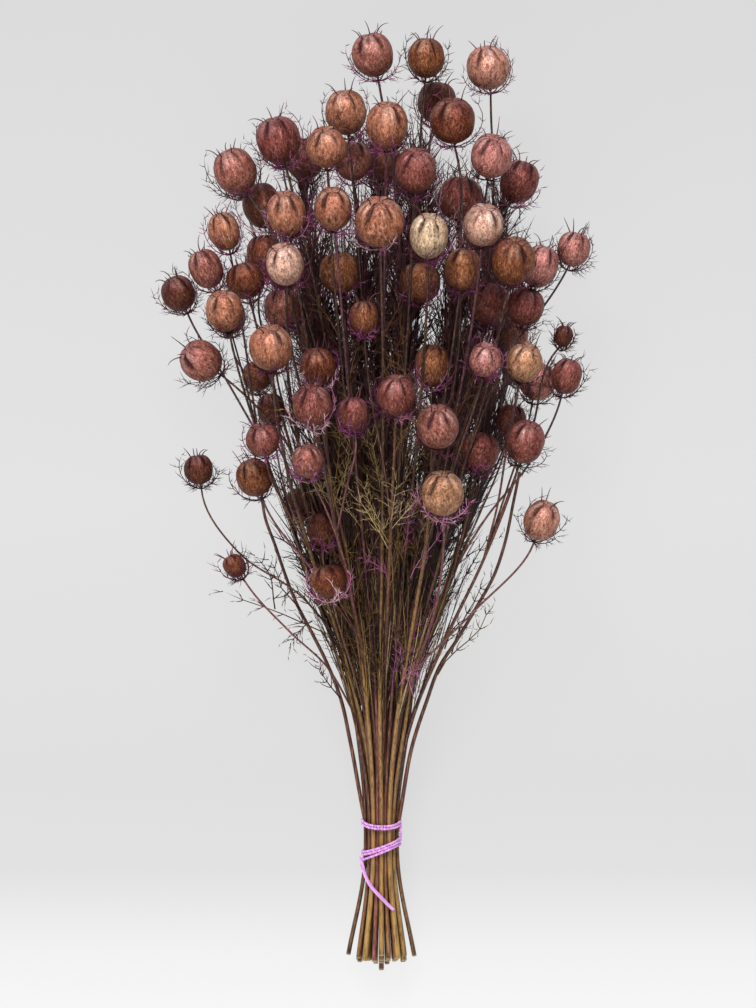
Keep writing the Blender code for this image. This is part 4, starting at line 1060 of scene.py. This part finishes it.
def leaf_piece(name, ribs, sort, thick, tone, forked=True):
    """Leaves as one piece: ribs, the feathers from each, and the forks from each feather. Ribs
    start half as thick again as feathers, and forks thinner."""
    ribs = above_surface(ribs, "rib")
    feathers = above_surface(side_thread_paths(ribs, *sort), "main")
    feather_tone = np.repeat(tone, LEAF_THREADS)
    skins = [
        thread_skin(ribs, (1.5 * thick, 0.7 * thick), tone),
        thread_skin(feathers, (thick, 0.55 * thick), feather_tone),
    ]
    if forked:
        forks = above_surface(side_thread_paths(feathers, *LEAF_FORKS), "fork")
        fork_tone = np.repeat(feather_tone, LEAF_FORKS[0])
        skins.append(thread_skin(forks, (0.7 * thick, 0.4 * thick), fork_tone))
    return add_skins(name, skins)


def sprig_piece(name, table, thick):
    """Leaves that each follow their own places in the picture."""
    ribs = np.array([drawn_path(low, high, places, LEAF_STEPS) for low, high, _, places in table])
    return leaf_piece(name, ribs, SPRIG_SORT, thick, np.array([row[2] for row in table]))


# The leaves are golden round a place a little below the bunch's middle, and browner away from it.
ribs = leaf_paths(*LEAVES)
golden = np.exp(-((ribs[:, 0, 0] / (40 * MM)) ** 2) - ((ribs[:, 0, 1] + 20 * MM) / (80 * MM)) ** 2)
rib_tone = draw.uniform(0, 0.6, len(ribs)) + golden * draw.uniform(0, 1.0, len(ribs))
rib_tone = np.clip(rib_tone, 0, 1)
leaves = leaf_piece("leaf_threads", ribs, LEAF_SORT, LEAF_RADIUS, rib_tone)
sprigs = sprig_piece("sprigs", SPRIGS, SPRIG_RADIUS)
pink_sprigs = sprig_piece("pink_sprigs", PINK_SPRIGS, PINK_RADIUS)
ribs = leaf_paths(*INNER_LEAVES)
inside = (ribs[:, 0, 2] < INNER_HIGH) & (np.abs(ribs[:, LEAF_STEPS // 2, 0]) < INNER_ASIDE)
ribs = ribs[inside][:INNER_MOST]
ribs[..., 2] *= np.linspace(1, 0.7, LEAF_STEPS)  # they droop
# painted shade: the inner leaves take only the darkest, near-black tones
rib_tone = draw.uniform(0, 0.25, len(ribs))
inner = leaf_piece("painted_shade_inner_threads", ribs, INNER_SORT, INNER_RADIUS, rib_tone, forked=False)
# The fine ones have half the points and no side threads. They are palest just above the tie.
strands = above_surface(leaf_paths(*FINE_LEAVES)[:, ::2], "rib")
strands = strands[strands[:, -1, 2] < FINE_HIGH]
paler = np.interp(strands[:, 0, 1], (-130 * MM, -20 * MM), (1.1, 0.38))
strand_tone = draw.uniform(0, 1, len(strands)) ** 1.8 * paler
fine = add_skins("fine_strands", [thread_skin(strands, FINE_ENDS, strand_tone)])
dried_leaf = dry_thread(
    "dried_leaf",
    (
        (0, "#1C0A08"), (0.25, "#3E1A18"), (0.4, "#563024"), (0.6, "#7E5C2E"), (0.82, "#B08E46"),
        (1, "#DCC48E"),
    ),
)
for piece in (leaves, sprigs, inner, fine):
    piece.data.materials.append(dried_leaf)
    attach(piece, "root")
pink_sprigs.data.materials.append(dyed_bract)
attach(pink_sprigs, "root")

# The tie: soft lilac yarn about 1.7 mm thick, of two twisted plies. Two turns sag round the stems
# above, three turns rise to the right below, a run joins them, and a flat tail hangs loose.
YARN_RADIUS, YARN_SIDES, WRAP_STEPS = 0.85 * MM, 6, 64
TWIST_LENGTH, TWIST_STEPS = 4 * MM, 9
# A ply's radius, and how far it lies from the yarn's middle, as shares of the yarn's radius.
PLY_RADIUS, PLY_OFFSET = 0.66, 0.38
# Each turn's place along the bunch at its left, its top and its right.
UPPER_TURNS = ((-207.6, -211.8, -208.2), (-209.5, -213.5, -210.2))
LOWER_TURNS = ((-228.0, -225.2, -219.2), (-229.8, -226.9, -221.1), (-233.6, -228.8, -223.4))
TAIL = ((-8.9, -231.5), (-8.2, -237), (-3.2, -249.5), (5.1, -258.8), (12.1, -266))
TAIL_LIFT, TAIL_STEPS = 1.0 * MM, 40
# The tail across, in mm: flat, with its upper edges rounded.
TAIL_OUTLINE = ((1.1, 0.2), (0.7, 0.4), (-0.7, 0.4), (-1.1, 0.2), (-1.1, -0.2), (1.1, -0.2))
# The yarn between the upper and the lower turns: places along, and heights over their middle.
RUN = ((-209, 2), (-215, 3), (-221, 2))


def bundle_at(along):
    """The height of the bundle's middle, and its radius, at a place between tie and foot."""
    share = np.maximum((along - WAIST_LOW) / (FOOT - WAIST_LOW), 0)
    rim = np.hypot(*stem_slots().T).max()
    lift = WAIST_LIFT + share * (FOOT_LIFT - WAIST_LIFT)
    lift = lift + WAIST_RISE * np.maximum(along - WAIST_LOW, 0) / (WAIST_TOP - WAIST_LOW)
    return lift, rim * (1 + share * (FOOT_SPREAD + FOOT_SPLAY - 1)) + STEM_RADIUS


def turn_path(left, top, right):
    """One turn of yarn round the bundle: its place along follows the cosine between left and
    right and a sine that lifts or lowers its upper side."""
    angle = np.linspace(0, 2 * math.pi, WRAP_STEPS + 1)
    middle, half = (left + right) / 2, (right - left) / 2
    along = middle + half * np.cos(angle) + (top - middle) * np.maximum(np.sin(angle), 0)
    lift, rim = bundle_at(along)
    reach = rim + YARN_RADIUS * 1.35
    across = BUNDLE_ACROSS + reach * np.cos(angle) * (1 - 0.06 * np.cos(angle) ** 2)
    return np.stack([across, along, lift + reach * np.sin(angle)], -1)


def plied_yarn(path, radius):
    """Two plies wound round a path: each is a strand that circles the path, a share of the
    yarn's radius away, once every twist length."""
    length = run_length(path)[-1]
    steps = int(length / (TWIST_LENGTH / TWIST_STEPS))
    fine = smooth_path(path, steps)
    _, side, up = (part[0] for part in ring_frames(fine[None]))
    angle = np.linspace(0, 2 * math.pi * length / TWIST_LENGTH, steps)
    offsets = [PLY_OFFSET * radius * around(side, up, angle + start) for start in (0, math.pi)]
    plies = fine + np.array(offsets)
    rings = round_skin(plies, np.full(plies.shape[:2], PLY_RADIUS * radius), YARN_SIDES)
    return rings, plies[:, 0], plies[:, -1], {}


turns = [turn_path(*(np.array(turn) * MM)) for turn in UPPER_TURNS + LOWER_TURNS]
lift, rim = bundle_at(LOWER_TURNS[0][2] * MM)
edge = BUNDLE_ACROSS + 0.95 * rim + YARN_RADIUS * 1.5
turns.append(np.array([(edge, place * MM, lift + rise * MM) for place, rise in RUN]))
tail = np.array(TAIL) * MM
lift, rim = bundle_at(tail[:, 1])
top = np.sqrt(np.maximum(rim**2 - (tail[:, 0] - BUNDLE_ACROSS) ** 2, 0.1 * rim**2))
tail = np.column_stack([tail, lift + top + TAIL_LIFT])
tail = smooth_path(tail, TAIL_STEPS)[None]
_, side, up = ring_frames(tail)
outline = np.array(TAIL_OUTLINE) * MM
flat = side[:, :, None] * outline[:, :1] + up[:, :, None] * outline[:, 1:]
band = (tail[:, :, None] + flat, tail[:, 0], tail[:, -1], {})
tie = add_skins("tie_yarn", [plied_yarn(path, YARN_RADIUS) for path in turns] + [band])


def twisted_yarn():
    """Soft two-ply craft yarn, dyed lilac: fuzzy and matt, with its twist seen as slanting bands
    about 2 mm apart."""
    material, shader = finish_of("lilac_yarn", 0.8, Sheen_Weight=0.2)
    place = add_node(material, "ShaderNodeTexCoord", output="Object")
    banded = {"Vector": place, "Scale": 1 / (9 * MM), "Distortion": 2.0}
    twist = add_node(material, "ShaderNodeTexWave", banded, "Fac", bands_direction="DIAGONAL")
    stops = ((0, "#DA92E4"), (1, "#F2BAF4"))
    colour = add_node(material, "ShaderNodeValToRGB", {"Fac": twist}, "Color", stops)
    dress(material, shader, colour, twist, 0.15 * MM)
    return material


tie.data.materials.append(twisted_yarn())
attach(tie, "root")
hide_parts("tie")

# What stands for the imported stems: the stems' skin and everything that grows on it.
stem_nodes = [f"stem_{number + 1:02}" for number in range(STEM_COUNT)]
for piece in (stems, pods, styles, *ruffs, leaves, sprigs, pink_sprigs, inner, fine):
    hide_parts(*stem_nodes)

# The set: a pale matte floor, and soft light from a large lamp beyond the heads and a larger,
# weaker one beyond the cut ends.
FLOOR_SIDE, FLOOR_DROP, FLOOR_GLOW = 6.0, 0.2 * MM, 0.84
# Each lamp's place, the place that it faces, its side in metres and its power in watts.
LAMPS = {
    "key": ((-0.2, 1.05, 1.5), (0, 0.1, 0.08), 0.7, 26),
    "fill": ((-0.4, -1.0, 1.7), (0, 0.05, 0.05), 1.4, 13),
}
ROOM_LIGHT = 0.4
bpy.ops.mesh.primitive_plane_add(size=FLOOR_SIDE, location=(0, 0, -FLOOR_DROP))
floor = bpy.context.object
floor.name = "floor"


def pale_floor():
    """Pale board, matt, that glows as a lit studio table does, brightest at the foot of the bunch,
    with faint cloudiness."""
    material, shader = finish_of("pale_board", 0.95, Emission_Strength=FLOOR_GLOW)
    place = add_node(material, "ShaderNodeTexCoord", output="Object")
    along = add_node(material, "ShaderNodeSeparateXYZ", {"Vector": place}, "Y")
    share = add_node(material, "ShaderNodeMapRange", {"Value": along, 1: -0.325, 2: 0.325})
    stops = (
        (0, "#FFFFFF"), (0.05, "#FAFAFA"), (0.13, "#E8E8E8"), (0.22, "#E5E5E5"), (0.5, "#E9E9E9"),
        (1, "#DEDEDE"),
    )
    glow = add_node(material, "ShaderNodeValToRGB", {"Fac": share}, "Color", stops)
    material.node_tree.links.new(glow, shader.inputs["Emission Color"])
    cloud = add_node(material, "ShaderNodeTexNoise", {"Vector": place, "Scale": 1.5}, "Fac")
    stops = ((0, "#484848"), (1, "#424242"))
    colour = add_node(material, "ShaderNodeValToRGB", {"Fac": cloud}, "Color", stops)
    material.node_tree.links.new(colour, shader.inputs["Base Color"])
    return material


floor.data.materials.append(pale_floor())


def soft_lamp(name, place, aim, size, power):
    """A square area lamp at a place, turned to face another."""
    light = bpy.data.lights.new(name, "AREA")
    light.size = size
    light.energy = power
    lamp = bpy.data.objects.new(name, light)
    bpy.context.scene.collection.objects.link(lamp)
    way = np.array(aim, float) - np.array(place, float)
    lamp.location = place
    yaw = math.atan2(way[1], way[0]) - math.pi / 2
    pitch = math.acos(-way[2] / np.linalg.norm(way))
    lamp.rotation_euler = (pitch, 0, yaw)


for name, row in LAMPS.items():
    soft_lamp(name, *row)
bpy.context.scene.view_settings.view_transform = "Standard"
world = bpy.data.worlds.new("soft room")
world.use_nodes = True
world.node_tree.nodes["Background"].inputs["Color"].default_value = (1, 1, 1, 1)
world.node_tree.nodes["Background"].inputs["Strength"].default_value = ROOM_LIGHT
bpy.context.scene.world = world
